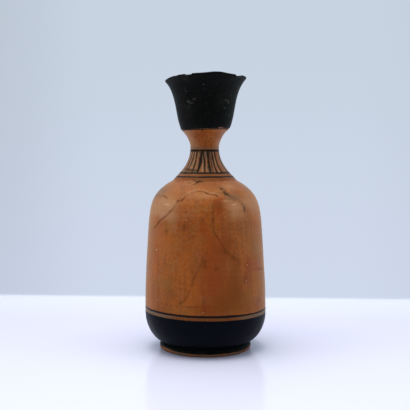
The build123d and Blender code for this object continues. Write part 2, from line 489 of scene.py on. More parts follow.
class Finish(Nodes):
    """A material's nodes, with the noises and the painted fields that its colours are made of."""

    def __init__(self, name):
        self.material = bpy.data.materials.new(name)
        self.material.use_nodes = True
        super().__init__(self.material.node_tree)
        self.places = self.add("ShaderNodeTexCoord").outputs["Object"]

    def shade(self, inputs):
        """Links or sets inputs of the surface's shader."""
        for key, value in inputs.items():
            self.put(value, self.tree.nodes["Principled BSDF"].inputs[key])

    def mark(self, name):
        """A painted field of the mesh."""
        return self.add("ShaderNodeAttribute", attribute_name=name).outputs["Fac"]

    def grain(self, size, detail, rough, stretch, shift):
        """Noise from 0 to 1, with lumps of a size in mm, drawn out along an axis by its stretch."""
        scale = tuple(1 / (size * MM * part) for part in stretch)
        mapped = self.add("ShaderNodeMapping", {"Vector": self.places, "Scale": scale,
                                                "Location": (shift, shift * 1.7, shift * 0.6)})
        wanted = {"Vector": mapped.outputs["Vector"], "Scale": 1.0, "Detail": detail, "Roughness": rough}
        return self.add("ShaderNodeTexNoise", wanted).outputs["Fac"]

    def pits(self, size):
        """1 in the middle of small round pits scattered about a size in mm apart, 0 between them."""
        wanted = {"Vector": self.places, "Scale": 1 / (size * MM), "Randomness": 1.0}
        return self.step(self.add("ShaderNodeTexVoronoi", wanted).outputs["Distance"], PIT_EDGE, PIT_MIDDLE)

    def frayed(self, value, grain, amount):
        """A value pushed up and down by a noise."""
        return self.maths("MULTIPLY_ADD", self.maths("SUBTRACT", grain, 0.5), amount, value)


# Colours as linear red, green and blue
CLAY = (0.318, 0.0742, 0.0058)
CLAY_DARK = (0.172, 0.0365, 0.0030)
CLAY_RED = (0.218, 0.030, 0.0034)
CLAY_ORANGE = (0.350, 0.080, 0.0060)
CLAY_TAN = (0.225, 0.083, 0.0120)
# Pale bloom and dust of the clay, also the colour of its painted highlights and sheen
CLAY_BLOOM_AND_SHEEN = (0.350, 0.155, 0.066)
CLAY_GRIME = (0.160, 0.086, 0.047)
CLAY_PALE = (0.55, 0.32, 0.17)
SOOT = (0.028, 0.014, 0.0075)
CRACK = (0.100, 0.016, 0.0015)
BLACK = (0.0012, 0.0018, 0.0040)
BLACK_BLOOM = (0.0028, 0.0038, 0.0070)
OLIVE_BLACK = (0.0012, 0.0013, 0.0008)
OLIVE_BLOOM = (0.0090, 0.0092, 0.0060)
BROWN_BLACK = (0.010, 0.0050, 0.0028)
WASH = (0.060, 0.026, 0.012)
CLAY_SHINE = (1.0, 0.87, 0.50)
GLOSS_SHINE = (0.86, 0.93, 1.0)
OLIVE_SHINE = (0.86, 1.0, 0.94)
GLOSS_DUST = (0.050, 0.045, 0.032)

# Patterns
EVEN = (1, 1, 1)
GRAINS = {
    # Size in mm, detail, roughness, stretch along the axes, and shift of the pattern
    "streaks": (2.4, 4, 0.55, (1, 1, 14), 3),
    "bands": (8, 3, 0.55, (1, 1, 5), 8),
    "mottle": (8, 5, 0.62, EVEN, 1),
    "clouds": (24, 3, 0.55, EVEN, 5),
    "fine": (0.55, 3, 0.65, EVEN, 2),
    "specks": (1.1, 2, 0.55, EVEN, 9),
    "dust": (1.5, 3, 0.6, EVEN, 6),
    "wheel": (1.3, 3, 0.55, (30, 30, 1), 4),
}
CLAY_GRAINS = (
    # A grain, its values where a colour sets in and is at its most, how much that is, and the colour
    ("streaks", 0.42, 0.62, 0.58, CLAY_DARK), ("bands", 0.50, 0.64, 0.4, CLAY_RED),
    ("bands", 0.48, 0.34, 0.5, CLAY_ORANGE), ("mottle", 0.51, 0.63, 0.5, CLAY_TAN),
    ("mottle", 0.47, 0.32, 0.45, CLAY_DARK), ("clouds", 0.50, 0.74, 0.3, CLAY_GRIME),
    ("wheel", 0.55, 0.8, 0.3, CLAY_DARK), ("fine", 0.45, 0.66, 0.5, CLAY_DARK),
    ("specks", 0.52, 0.70, 0.4, CLAY_DARK), ("specks", 0.70, 0.78, 0.5, SOOT),
    ("specks", 0.27, 0.2, 0.3, CLAY_PALE), ("dust", 0.40, 0.68, 0.26, CLAY_BLOOM_AND_SHEEN),
)
# The bloom field also carries painted highlights and painted sheen on the body's shoulder and sides and on
# the neck
CLAY_FIELDS = (
    # A field, how much the mottle frays it, its values where a colour sets in and is whole, that colour
    ("tanned", 0.5, 0, 1, CLAY_TAN), ("orange", 0.5, 0, 1, CLAY_ORANGE), ("ruddy", 0.4, 0, 1, CLAY_RED),
    ("dusky", 0.6, 0, 1, CLAY_DARK), ("bloom", 0.7, 0.1, 0.9, CLAY_BLOOM_AND_SHEEN),
    ("grime", 0.5, 0.1, 0.9, CLAY_GRIME),
)
# Pits: their spacing in mm, and shares of it where they start and are deepest
PIT_SPACING = 2.3
PIT_EDGE = 0.13
PIT_MIDDLE = 0.04
BUMP_HEIGHT = 0.06
BUMP_STRENGTH = 0.4
SHEEN_ROUGHNESS = 0.4


def clay_colour(finish, grains):
    """Burnished clay with its streaks, its stains and its cracks, and where it is damaged."""
    clay = CLAY
    for grain, low, high, share, colour in CLAY_GRAINS:
        clay = finish.mix(finish.step(grains[grain], low, high, 0, share), clay, colour)
    for field, fray, low, high, colour in CLAY_FIELDS:
        value = finish.frayed(finish.mark(field), grains["mottle"], fray)
        clay = finish.mix(finish.step(value, low, high), clay, colour)
    clay = finish.mix(finish.step(grains["fine"], 0.50, 0.66, 0, 0.4), clay, CLAY_DARK)
    stain = finish.frayed(finish.frayed(finish.mark("stain"), grains["fine"], 0.7), grains["specks"], 0.6)
    stain = finish.step(stain, 0.12, 0.95, 0, 0.88)
    clay = finish.mix(stain, clay, SOOT)
    clay = finish.mix(finish.step(finish.mark("pale"), 0.2, 0.8), clay, CLAY_PALE)
    crack = finish.step(finish.frayed(finish.mark("crack"), grains["fine"], 0.9), 1.5, 0.15)
    crack = finish.maths("MULTIPLY", crack, finish.mark("ink"))
    return finish.mix(crack, clay, CRACK), finish.maths("MAXIMUM", crack, stain)


def gloss_colour(finish, grains, gloss, bloom, bloom_share, brush):
    """Black gloss, browner where it is thin, with a bloom of age that leaves out what is dusky."""
    colour = finish.mix(finish.step(brush, 0.5, 0.05), gloss, BROWN_BLACK)
    open_share = finish.step(finish.mark("dusky"), 0, 1, 1, 0)
    for grain, low, high in (("clouds", 0.45, 0.72), ("mottle", 0.5, 0.75)):
        share = finish.maths("MULTIPLY", finish.step(grains[grain], low, high, 0, bloom_share), open_share)
        colour = finish.mix(share, colour, bloom)
    colour = finish.mix(finish.step(grains["wheel"], 0.58, 0.8, 0, 0.4 * bloom_share), colour, BROWN_BLACK)
    dust = finish.step(finish.frayed(finish.mark("pale"), grains["dust"], 1.9), 0.12, 0.9, 0, bloom_share)
    return finish.mix(dust, finish.mix(finish.mark("wash"), colour, WASH), GLOSS_DUST)


def pottery(name, gloss, bloom, tint, bloom_share, gloss_rough, wear_share, shine, sheen):
    """Clay under painted gloss. Where the gloss lies and the marks of wear are read from the mesh."""
    finish = Finish(name)
    grains = {key: finish.grain(*row) for key, row in GRAINS.items()}
    clay, damage = clay_colour(finish, grains)
    pits = finish.pits(PIT_SPACING)
    clay = finish.mix(finish.maths("MULTIPLY", pits, 0.5), clay, CRACK)
    brush = finish.frayed(finish.mark("glaze"), grains["fine"], 0.35)
    cover = finish.step(brush, -0.16, 0.14)
    worn = finish.frayed(finish.mark("wear"), grains["mottle"], 0.8)
    worn = finish.frayed(worn, grains["specks"], 1.0)
    cover = finish.maths("MULTIPLY", cover, finish.step(worn, 0.42, 0.62, 1, 1 - wear_share))
    black = gloss_colour(finish, grains, gloss, bloom, bloom_share, brush)

    clay_rough = finish.step(grains["mottle"], 0.3, 0.7, 0.44, 0.60)
    clay_rough = finish.maths("MULTIPLY_ADD", damage, 0.3, clay_rough)
    black_rough = finish.step(grains["clouds"], 0.3, 0.7, gloss_rough - 0.06, gloss_rough + 0.1)
    black_rough = finish.maths("MULTIPLY_ADD", grains["fine"], 0.12, black_rough)
    change = finish.maths("SUBTRACT", black_rough, clay_rough)

    relief = finish.maths("MULTIPLY_ADD", grains["fine"], 0.5, finish.maths("MULTIPLY", grains["wheel"], 0.8))
    relief = finish.maths("MULTIPLY_ADD", cover, 0.5, relief)
    relief = finish.maths("MULTIPLY_ADD", pits, -1.5, relief)
    bump = finish.add("ShaderNodeBump", {"Height": relief, "Strength": BUMP_STRENGTH,
                                         "Distance": BUMP_HEIGHT * MM})
    finish.shade({"Base Color": finish.mix(cover, clay, black),
                  "Roughness": finish.maths("MULTIPLY_ADD", change, cover, clay_rough),
                  "Normal": bump.outputs["Normal"],
                  "Specular IOR Level": shine, "Specular Tint": tint,
                  "Sheen Weight": sheen, "Sheen Roughness": SHEEN_ROUGHNESS, "Sheen Tint": tint})
    return finish.material


painted_clay = pottery("painted_clay", BLACK, BLACK_BLOOM, CLAY_SHINE, bloom_share=0.2, gloss_rough=0.36,
                       wear_share=0.5, shine=0.20, sheen=0.20)
black_gloss = pottery("black_gloss", BLACK, BLACK_BLOOM, GLOSS_SHINE, bloom_share=0.3, gloss_rough=0.34,
                      wear_share=0.5, shine=0.040, sheen=0.0)
olive_gloss = pottery("worn_olive_gloss", OLIVE_BLACK, OLIVE_BLOOM, OLIVE_SHINE, bloom_share=0.75,
                      gloss_rough=0.44, wear_share=0.10, shine=0.055, sheen=0.035)
slip_clay = pottery("luting_slip", BROWN_BLACK, OLIVE_BLOOM, CLAY_SHINE, bloom_share=0.5, gloss_rough=0.5,
                    wear_share=0.6, shine=0.10, sheen=0.05)


# Body

CRACKS = (
    # Points of angle, height and darkness, then half width, depth and height of the raised upper edge
    (((-60.5, 71.8, 0.1), (-58, 73.1, 0.4), (-56.5, 73.4, 0.7), (-54, 74.8, 0.5), (-51.5, 76, 0.8),
      (-49.5, 77, 0.6), (-46, 78.2, 0.7), (-42, 79.5, 0.6), (-39.5, 80.7, 0.5), (-37, 82.2, 0.6),
      (-35, 83.3, 0.6), (-33, 84.6, 0.4), (-31, 86.2, 0.2), (-30.3, 88.3, 0.9), (-28.8, 88.2, 0.5),
      (-27, 88.1, 0.4), (-25.6, 88.3, 0.8), (-24.3, 89.2, 0.8), (-22.8, 90.3, 0.6), (-22, 90.8, 0.3),
      (-18, 91.7, 0.05)), 0.62, 0.25, 0.06),
    (((-18, 92, 0.03), (-12, 93.3, 0.1), (-8, 93.8, 0.5), (-3, 93.6, 0.5), (0, 93.1, 0.4), (1.5, 92.7, 1),
      (3.2, 92.5, 0.9), (6, 92, 0.3), (9.5, 91.6, 0.4), (12, 91.7, 0.6), (13.5, 91.2, 0.7),
      (14.5, 90.6, 0.5)), 0.5, 0.3, 0.28),
    (((-68, 90.4, 0.2), (-60, 90.3, 0.35), (-54, 90.5, 0.5), (-50.5, 90.2, 0.8), (-48, 89.8, 0.7),
      (-44.5, 89, 0.2)), 0.55, 0.15, 0.02),
    (((9.3, 88, 0.1), (8.6, 85, 0.3), (8, 82.5, 0.45), (7.6, 80, 0.6), (7.4, 78, 0.75), (7.3, 76.5, 0.6),
      (7.6, 75, 0.2)), 0.95, 0.2, 0.04),
    (((8, 75.5, 0.3), (8.3, 72, 0.35), (9.2, 70.3, 0.7), (10.2, 69.3, 0.7), (12, 68, 0.6),
      (14, 66.3, 0.35), (17, 63.5, 0.25), (19, 61.5, 0.4), (21, 59.5, 0.2),
      (25, 57.5, 0.25)), 0.6, 0.2, 0.05),
    (((2.2, 62, 0.1), (0, 59, 0.15), (-2.5, 57, 0.4), (-3.5, 55, 0.3), (-4.5, 53, 0.3), (-7, 50.5, 0.3),
      (-9.5, 47.5, 0.4), (-10.5, 45.5, 0.45), (-11.8, 43, 0.45), (-13, 40.5, 0.25), (-15.5, 37.5, 0.25),
      (-18, 34.8, 0.3), (-20, 33, 0.45), (-22.5, 32, 0.5), (-25, 31.5, 0.25)), 0.85, 0.15, 0.04),
    (((-1, 38, 0.15), (-1, 33, 0.35), (-1.2, 28.5, 0.45)), 0.9, 0.08, 0.02),
    (((-40, 30.4, 0.1), (-20, 30.4, 0.25), (-14, 30, 0.5), (-10, 30.3, 0.2),
      (10, 30.6, 0.15)), 0.5, 0.1, 0.03),
    (((-30, 98, 0.2), (-27, 98.5, 0.6), (-25, 98.1, 0.5), (-23, 97.7, 0.2)), 0.45, 0.25, 0.25),
    (((-18, 97.4, 0.3), (-15, 97.6, 0.8), (-13, 98.2, 0.9), (-11, 98.8, 0.9), (-8, 99, 0.8),
      (-4, 98.9, 0.4)), 0.5, 0.3, 0.28),
    (((48, 48.9, 0.1), (56, 49.3, 0.2), (64, 48.7, 0.3), (72, 47.8, 0.3)), 0.7, 0.12, 0.03),
    (((104, 86, 0.4), (112, 79, 0.7), (117, 70, 0.5), (128, 63, 0.6), (131, 52, 0.5),
      (141, 44, 0.2)), 0.6, 0.2, 0.06),
    (((-112, 40, 0.2), (-120, 48, 0.5), (-124, 58, 0.6), (-135, 66, 0.5),
      (-139, 77, 0.4)), 0.6, 0.2, 0.06),
)
# Spots of angle, height, half width, half height and strength
STAINS = (
    (18.2, 95.7, 1.2, 0.6, 0.6), (20.2, 94.4, 0.8, 0.6, 0.4), (22.2, 95, 1.2, 0.9, 0.9),
    (23.9, 93.2, 1.1, 0.8, 0.75), (25, 92, 1.4, 0.8, 0.95), (26.4, 94.3, 0.8, 0.6, 0.4),
    (28, 91.2, 1, 0.8, 0.5), (23.5, 93.4, 3.4, 2.4, 0.3), (31, 90.6, 2.6, 1.2, 0.32),
    (35, 89.3, 3, 1.3, 0.28), (39, 88, 2.6, 1.3, 0.32), (42, 86.3, 1.6, 1.3, 0.5),
    (44, 84.2, 1.4, 1.6, 0.65), (43, 82.3, 1.3, 1, 0.4), (52, 83.5, 4, 0.5, 0.3),
    (59, 92.5, 2.5, 1, 0.35), (61, 90, 1.5, 1.5, 0.3), (49.5, 79.4, 0.9, 0.7, 0.3),
    (19, 69, 1.2, 0.8, 0.35), (38.5, 44, 0.8, 1.1, 0.5), (42.3, 51, 0.9, 0.9, 0.5),
    (3.5, 75.2, 0.8, 0.8, 0.3), (-0.5, 55.5, 1.2, 1.5, 0.5), (0.5, 52.3, 1.1, 1, 0.55),
    (10, 51.5, 1, 0.9, 0.58), (18.8, 60.5, 1.1, 1, 0.58), (27, 57, 1.2, 1.1, 0.5),
    (-20, 74.2, 1.6, 1.4, 0.48), (-3, 78, 1.3, 1.4, 0.38), (-40.5, 71.2, 1.3, 1.1, 0.4),
    (24, 64, 0.8, 1.4, 0.35), (30, 51, 1.5, 0.8, 0.35), (36, 58, 1, 1.6, 0.3), (14, 46.5, 0.8, 0.8, 0.35),
    (150, 60, 2.5, 3, 0.4), (-165, 80, 2, 2.5, 0.4), (95, 72, 1.5, 2, 0.4),
)
RUDDY = (
    (14, 87.5, 2.4, 2.6, 1), (15.5, 84.5, 1.8, 1, 1), (13.5, 82, 2, 3, 0.6), (18, 89, 1.5, 1, 0.5),
    (45, 53, 3.5, 4, 0.5), (40.5, 45.5, 2.2, 2.6, 0.7), (-60, 35, 2, 4, 0.4), (-47, 36, 1.2, 4, 0.5),
    (64, 48.7, 5, 0.8, 0.5), (58, 53, 4, 6, 0.4), (3, 45, 8, 16, 0.5), (20, 64, 7, 7, 0.5),
    (45, 50, 9, 20, 0.15), (-3, 75, 3, 5, 0.5), (2, 70, 5, 5, 0.3), (3, 28, 8, 2.5, 0.5),
    (-5, 30.5, 8, 0.8, 0.4), (15, 42, 7, 15, 0.35), (5, 60, 6, 9, 0.3), (120, 75, 9, 12, 0.4),
    (-150, 50, 9, 14, 0.4),
)
# Darker spots: painted shade low on the body, where the lower body gets less light, darker clay round the
# stains, the cracks and the red patch, and darker spots at the shoulder's far sides
DUSKY = (
    (24, 35, 11, 9, 0.3), (24, 75, 7, 6, 0.35), (33, 88, 7, 4, 0.3), (-68, 91, 7, 4, 0.4),
    (14, 86, 3, 3.5, 0.6), (34, 91, 6, 3, 0.6), (20, 61, 7, 8, 0.45), (28, 40, 7, 8, 0.6),
    (30, 49, 5, 5, 0.4), (12, 29, 16, 8, 0.55), (-32, 37, 5, 4, 0.5), (-45, 27, 9, 4, 0.6),
    (5, 97.5, 9, 3, 0.6), (55, 28, 12, 5, 0.4), (58, 31, 3, 1.8, 0.5), (-41, 53, 2.2, 5, 0.45),
    (-20, 74.2, 2.2, 2, 0.9), (-3, 78, 2, 2.2, 0.7), (-40.5, 71.2, 2, 1.8, 0.6),
    (-47.5, 69.3, 1, 0.8, 0.5), (18.8, 60.5, 1.4, 1.3, 0.9), (27, 57, 1.6, 1.6, 0.8),
    (32, 55, 2.2, 2, 0.7), (10, 51.5, 1.2, 1.2, 0.9), (-1, 54, 1.8, 3, 0.8), (-67, 52, 1.5, 3, 0.5),
    (41, 44.5, 2, 1.6, 0.6), (26, 66.5, 1.6, 1.2, 0.5), (-64, 92, 5, 4, 0.4), (-70, 94, 6, 5, 0.5),
    (72, 91, 5, 4, 0.4), (30, 91.5, 4, 2, 0.5), (30, 88, 4, 2, 0.5), (15, 95.5, 4, 1.5, 0.4),
    (150, 40, 12, 9, 0.5), (-120, 82, 9, 6, 0.4),
)
TANNED = (
    (-35, 41, 6, 6, 0.5), (-48, 43, 4, 5, 0.4), (-30, 63, 5, 5, 0.3), (58, 60, 8, 9, 0.6),
    (46, 69, 7, 7, 0.35), (64, 41, 7, 6, 0.5), (40, 34, 7, 5, 0.5), (22, 27.8, 8, 1.6, 0.7),
    (-30, 28, 11, 1.4, 0.5), (62, 88, 5, 4, 0.5), (-40, 75, 5, 4, 0.5), (-24, 69, 4, 5, 0.3),
    (-56, 36, 1.2, 5, 0.5), (-170, 62, 9, 18, 0.4), (115, 50, 9, 9, 0.4),
)
# Brighter orange patches; the tall narrow strips on the left, between -55 and -66 degrees, are a painted
# highlight streak down that side
ORANGE = (
    (-52, 67, 7, 7, 0.6), (-35, 66, 6, 7, 0.45), (-60, 28, 3, 3, 0.6), (60, 80, 4, 3, 0.5),
    (-55, 50, 2.4, 8, 0.8), (-9, 40, 4, 9, 0.6), (-60, 78, 4, 4, 0.6), (65, 77, 2.6, 2.4, 0.7),
    (-15, 60, 4, 7, 0.4), (4, 66, 2.5, 4, 0.5), (-66, 44, 2, 6, 0.4), (-20, 50, 3, 9, 0.4),
    (-62, 36, 3, 6, 0.5), (60, 40, 4, 4, 0.5), (45, 63, 4, 4, 0.4), (-105, 60, 8, 16, 0.5),
    (160, 78, 9, 8, 0.4),
)
# Pale patches: mostly painted highlights and glints on the shoulder where the lamps shine, painted sheen in
# the tall strips down both sides, and some pale dusty clay
PALE_PATCHES_AND_HIGHLIGHTS = (
    (-45, 80, 5, 3, 0.2), (-16, 91.5, 9, 3, 0.15), (0, 91, 4, 2.5, 0.15), (-72, 72, 3, 9, 0.15),
    (75, 46, 3.5, 20, 0.2), (32, 85.5, 5, 3, 0.5), (31, 80.5, 6, 4, 0.45), (-41, 86, 6, 3, 0.6),
    (-39, 84.8, 2.4, 1.4, 0.4), (-52, 84, 6, 5, 0.3), (-30, 55, 6, 16, 0.15), (45, 60, 6, 10, 0.15),
    (62, 84, 6, 6, 0.3), (38, 96, 6, 2.5, 0.3), (28, 88.3, 1.6, 0.5, 0.6), (22, 88.4, 2, 0.5, 0.5),
    (-16, 80.5, 4, 3, 0.25), (-33, 87.4, 1.6, 1.2, 0.4), (-36, 80, 7, 3.5, 0.35), (-31, 72, 4, 4, 0.25),
    (-45, 82, 4, 2.5, 0.3), (48, 87, 5, 3, 0.35),
)
GRIME = (
    (-67, 93, 13, 6, 0.52), (74, 94, 7, 5, 0.5), (34, 90.6, 6, 2.4, 0.42), (15, 92.5, 4, 2, 0.3),
    (-77, 89, 5, 8, 0.4), (30, 88.6, 3.5, 1.6, 0.35),
)
# Pale specks and scratches, and painted highlights: the short pale strokes on the shoulder's left and right
# are painted glints, as are the pale spots under the flakes by the neck
PALE_SPECKS_AND_GLINTS = (
    (-53.5, 60.3, 0.55, 0.45, 1.2), (43, 52.5, 0.35, 0.35, 1), (40.5, 43.5, 0.35, 0.35, 1),
    (-2, 27.5, 0.7, 0.35, 0.6), (-16.5, 79.1, 2.4, 0.25, 0.6), (-18, 77.8, 2, 0.2, 0.5),
    (-42, 86.6, 2.6, 0.25, 0.45), (-39, 85.3, 2.2, 0.25, 0.5), (30, 86.2, 2.4, 0.25, 0.4),
    (-24, 96.9, 2.4, 0.3, 0.5), (-13, 97.4, 2.4, 0.3, 0.5), (-41, 85.8, 4.5, 2, 0.26),
    (-46, 86, 2.2, 0.22, 0.4), (-36, 84.3, 1.8, 0.2, 0.4), (31, 86.3, 3, 0.8, 0.4),
    (33, 84.5, 2.5, 1, 0.35),
)
FLAKES = (
    (-25, 97.5, 1.2, 0.5, 0.5), (-21, 98.1, 1.2, 0.6, 0.5), (-16.5, 97.4, 1.3, 0.7, 0.6),
    (-14, 98.4, 1.3, 0.7, 0.75), (-10.5, 98.9, 1.7, 0.7, 0.75), (-6, 98.8, 1.5, 0.6, 0.5),
)


# Half the angle of the front, and columns round the front and round the back
BODY_COLUMNS = (82, 246, 104)
# Noises with a strength, a lump size and a seed, here and for the other pieces
BODY_DENTS = ((0.10, 14, 1), (0.035, 3.2, 2))
BODY_HAND = ((0.10, upright(9), 5), (0.05, upright(2.5), 6))
RING_DEPTH = 0.03
FLAKE_DEPTH = 0.3
PAINT_SLANT = 0.5
# The line's half width, and where the brush made it wider or thinner: change, angle and half reach
BODY_LINE_HALF = 0.60
BODY_LINE_SWELLS = ((0.10, -5, 40), (0.08, 22, 8), (-0.14, 46, 10))
# A crack's bends: step between its points, length of a bend, its reach in degrees and in mm, and the points
# by which the second lags behind the first
CRACK_STEP = 0.15
CRACK_BEND = 1.6
CRACK_ASIDE = 0.45
CRACK_ABOVE = 0.25
CRACK_LAG = 9
MM_PER_DEGREE = 0.6
# Where a crack's raised edge stands and how wide it is, in half widths of the crack, and the tallest one
RIDGE = (1.9, 1.1)
TALLEST_RIDGE = 0.28


def route_points(route, surface_radius):
    """Close points on the surface along a route, a little ragged, and the darkness at each."""
    angles, heights, inks = np.array(route).T
    lengths = np.hypot(np.diff(angles) * MM_PER_DEGREE, np.diff(heights))
    travelled = np.concatenate([[0], np.cumsum(lengths)])
    spots = np.arange(0, travelled[-1], CRACK_STEP)
    wander = [noise.noise((spot / CRACK_BEND, angles[0], heights[0])) for spot in spots.tolist()]
    theta = np.radians(np.interp(spots, travelled, angles) + CRACK_ASIDE * np.array(wander))
    height = np.interp(spots, travelled, heights) + CRACK_ABOVE * np.roll(wander, CRACK_LAG)
    radius = surface_radius(height)
    points = np.stack([radius * np.sin(theta), -radius * np.cos(theta), height], 1)
    return points, np.interp(spots, travelled, inks)


def crack_fields(grid, cracks):
    """The outward push of the cracks, the two fields that draw them, and the field of their raised edges."""
    shown = grid.shown_rows

    def surface_radius(height):
        return np.interp(height, grid.outline[shown, 1], grid.outline[shown, 0])

    chains, inks = zip(*[route_points(crack[0], surface_radius) for crack in cracks])
    owners = np.repeat(np.arange(len(chains)), [len(chain) for chain in chains])
    points = np.concatenate(chains)
    tree = KDTree(len(points))
    for number, point in enumerate(points.tolist()):
        tree.insert(point, number)
    tree.balance()
    found = [tree.find(spot) for spot in grid.place.reshape(-1, 3).tolist()]
    gap = np.array([hit[2] for hit in found]).reshape(grid.height.shape)
    nearest = np.array([hit[1] for hit in found]).reshape(grid.height.shape)
    half_width, depth, edge = np.array([crack[1:] for crack in cracks])[owners[nearest]].transpose(2, 0, 1)
    ink = np.concatenate(inks)[nearest]
    share = np.where(grid.shown > 0, gap / half_width, NO_CRACK)
    ridge = edge * smooth(grid.height - points[nearest, 2], -0.2, 0.4) * hump(share, *RIDGE)
    push = ridge - depth * np.sqrt(ink) * np.exp(-share ** 2)
    crest = ridge / TALLEST_RIDGE
    return push * grid.shown, np.minimum(share, NO_CRACK), ink * grid.shown, crest * grid.shown


def make_body():
    """The body with its painted base, its line, its cracks and stains."""
    outside = body_outside()
    inside = offset(outside, BODY_WALL)

    def row_step(height):
        near_paint = np.minimum(np.abs(height - ZONE_TOP), np.abs(height - BODY_LINE))
        return 0.17 + 0.35 * smooth(near_paint, 0.7, 2.2)

    base = line((0, BODY_BASE), (BASE_RADIUS, BODY_BASE))
    seat = line((SEAT_RADIUS, SEAT_HEIGHT), (OPENING_RADIUS, SEAT_HEIGHT))
    opening = line((OPENING_RADIUS, SEAT_HEIGHT), (OPENING_RADIUS, CEILING_HEIGHT))
    ceiling = line((OPENING_RADIUS, CEILING_HEIGHT), inside[-1])
    floor = line(inside[0], (0, inside[0][1]))
    grid = turned([(base, 4, False), (outside, row_step, True), (seat, 2, False), (opening, 1.5, False),
                   (ceiling, 2, False), (inside[::-1], 3, False), (floor, 5, False)],
                  front_columns(*BODY_COLUMNS))
    push, crack, ink, crest = crack_fields(grid, CRACKS)
    rings = RING_DEPTH * np.sin(grid.height * 1.9 + 2 * lumps(grid, 30, 3)) * smooth(grid.height, 26, 34)
    flake = blots(grid, FLAKES)
    press(grid, push + (rings + rough(grid, BODY_DENTS)) * grid.shown - FLAKE_DEPTH * flake)

    # The black base, the line above it, and the gap between them
    hand = rough(grid, BODY_HAND)
    slant = -PAINT_SLANT * np.sin(np.radians(grid.angle))
    zone = path_at(grid, ZONE_TOP) + slant + hand - grid.path
    half_line = BODY_LINE_HALF + swells(grid, BODY_LINE_SWELLS) + 0.08 * lumps(grid, upright(12), 7)
    above_line = grid.path - path_at(grid, BODY_LINE) - slant - hand
    stroke = half_line - np.abs(above_line)
    gap = smooth(zone, 0.2, -0.2) * smooth(above_line, 0.3, -0.3) * grid.shown

    # Painted highlight on the shoulder, where the lamp overhead shines, and painted sheen towards both sides;
    # with the pale patches and the lit crests of the cracks it goes into the bloom field
    painted_sheen = (0.30 + 0.16 * lumps(grid, 9, 9)) * smooth(grid.height, 70, 86)
    painted_sheen = painted_sheen * (1 - 0.8 * hump(grid.angle, 5, 20) * hump(grid.height, 85, 5))
    painted_sheen = painted_sheen + 0.2 * smooth(np.abs(grid.angle - 5), 52, 72)
    # The raised upper edges of the cracks get a painted highlight, as if lit from above
    bloom = blots(grid, PALE_PATCHES_AND_HIGHLIGHTS) + painted_sheen + crest * (0.4 + 0.3 * lumps(grid, 2, 10))
    grime = blots(grid, GRIME) + gap * (0.25 + 0.6 * smooth(np.abs(grid.angle), 20, 50))
    scuffs = 0.28 * smooth(lumps(grid, 2.2, 8), 0.3, 0.7) - 0.08
    grid.marks = marks_of(grid, glaze=paint(grid, np.maximum(zone, stroke)), crack=crack, ink=ink,
                          stain=blots(grid, STAINS) + flake + 0.4 * gap, dusky=blots(grid, DUSKY) + 0.7 * gap,
                          ruddy=np.clip(blots(grid, RUDDY), 0, 1), tanned=blots(grid, TANNED),
                          orange=blots(grid, ORANGE), bloom=np.clip(bloom, 0, 1), grime=grime,
                          pale=blots(grid, PALE_SPECKS_AND_GLINTS), wash=0.15 * (stroke > zone), wear=scuffs * grid.shown)
    make_piece("body", grid, "orange_clay", painted_clay, black_gloss)


# Neck

STROKE_SPOTS = (0.0, 0.42, 1.0)
TONGUES = (
    # Angles at the top, near the middle and at the foot, half widths there, and darkness
    ((-72, -76, -68), (0.35, 0.42, 0.42), 0.40), ((-55, -60.5, -57.5), (0.40, 0.50, 0.45), 0.50),
    ((-45, -46, -52), (0.30, 0.35, 0.40), 0.40), ((-30.5, -33, -31), (0.30, 0.35, 0.35), 0.60),
    ((-11, -14.6, -17.3), (0.42, 0.80, 0.60), 1.00), ((-8, 0, -1.1), (0.30, 0.34, 0.36), 0.90),
    ((10.4, 12.9, 13.0), (0.46, 0.55, 0.66), 0.95), ((20, 21, 20.5), (0.20, 0.24, 0.25), 0.30),
    ((28, 29.5, 29.5), (0.32, 0.40, 0.42), 0.90), ((41, 42, 43.5), (0.28, 0.40, 0.44), 0.90),
    ((65, 70, 66), (0.32, 0.40, 0.40), 0.60), ((86, 89, 82), (0.32, 0.40, 0.40), 0.60),
)
PALE_STROKES = (
    # Angles as for the tongues, half width and strength
    ((-64, -67, -62), 0.30, 0.5), ((-34, -37, -40), 0.48, 1.0), ((-24, -24, -24), 0.34, 0.4),
    ((-8.5, -6.4, -6), 0.36, 0.6), ((4, 4.6, 4.4), 0.34, 0.4), ((24, 25, 25), 0.38, 0.4),
    ((36, 36.5, 37.5), 0.34, 0.8), ((60, 62, 58.6), 0.34, 0.6),
)
NECK_STAINS = (
    (-36, 104.8, 4, 0.9, 0.5), (-24, 104.7, 3, 0.8, 0.4), (-45, 105.2, 3.2, 1, 0.7),
    (-56, 105.9, 2, 1, 0.5), (13, 104.8, 1.2, 0.9, 0.8), (-14.5, 111.5, 0.9, 2.2, 0.9),
    (11.5, 113.4, 0.9, 0.9, 0.9), (-9, 115.2, 1.6, 0.6, 0.7), (-22, 115, 1.2, 0.5, 0.4),
    (20, 112, 1.2, 3, 0.35), (-18, 105, 1.2, 0.9, 0.6),
)
NECK_RUDDY = (
    (-5, 125, 4, 1.5, 0.6), (15, 118.5, 5, 1.2, 0.5),
)
BACK_TONGUES = 17
BACK_ANGLES = (98, 272)
BACK_HAND = np.random.default_rng(11)
BRUSH_SPREAD = 0.16
NECK_COLUMNS = (100, 320, 130)
NECK_DENTS = ((0.07, 7, 11), (0.03, 2, 12))
NECK_HAND = ((0.08, upright(5), 13), (0.04, upright(1.6), 14))
LOW_LINE_HALF = 0.59
BASE_LINE_HALF = 0.70
HIGH_LINE_HALF = 0.66
DRIP_ANGLE = -7.2
DRIP_HALF = 0.4
DRIP_END = 127.4


def back_tongues():
    """The strokes on the side that the photo doesn't show, in the same loose hand."""
    strokes = []
    for angle in np.linspace(*BACK_ANGLES, BACK_TONGUES):
        lean = BACK_HAND.normal(0, 1.8)
        width = BACK_HAND.uniform(0.3, 0.5)
        tone = BACK_HAND.uniform(0.5, 1)
        strokes.append(((angle + lean, angle, angle - lean), (width * 0.85, width, width), tone))
    return strokes


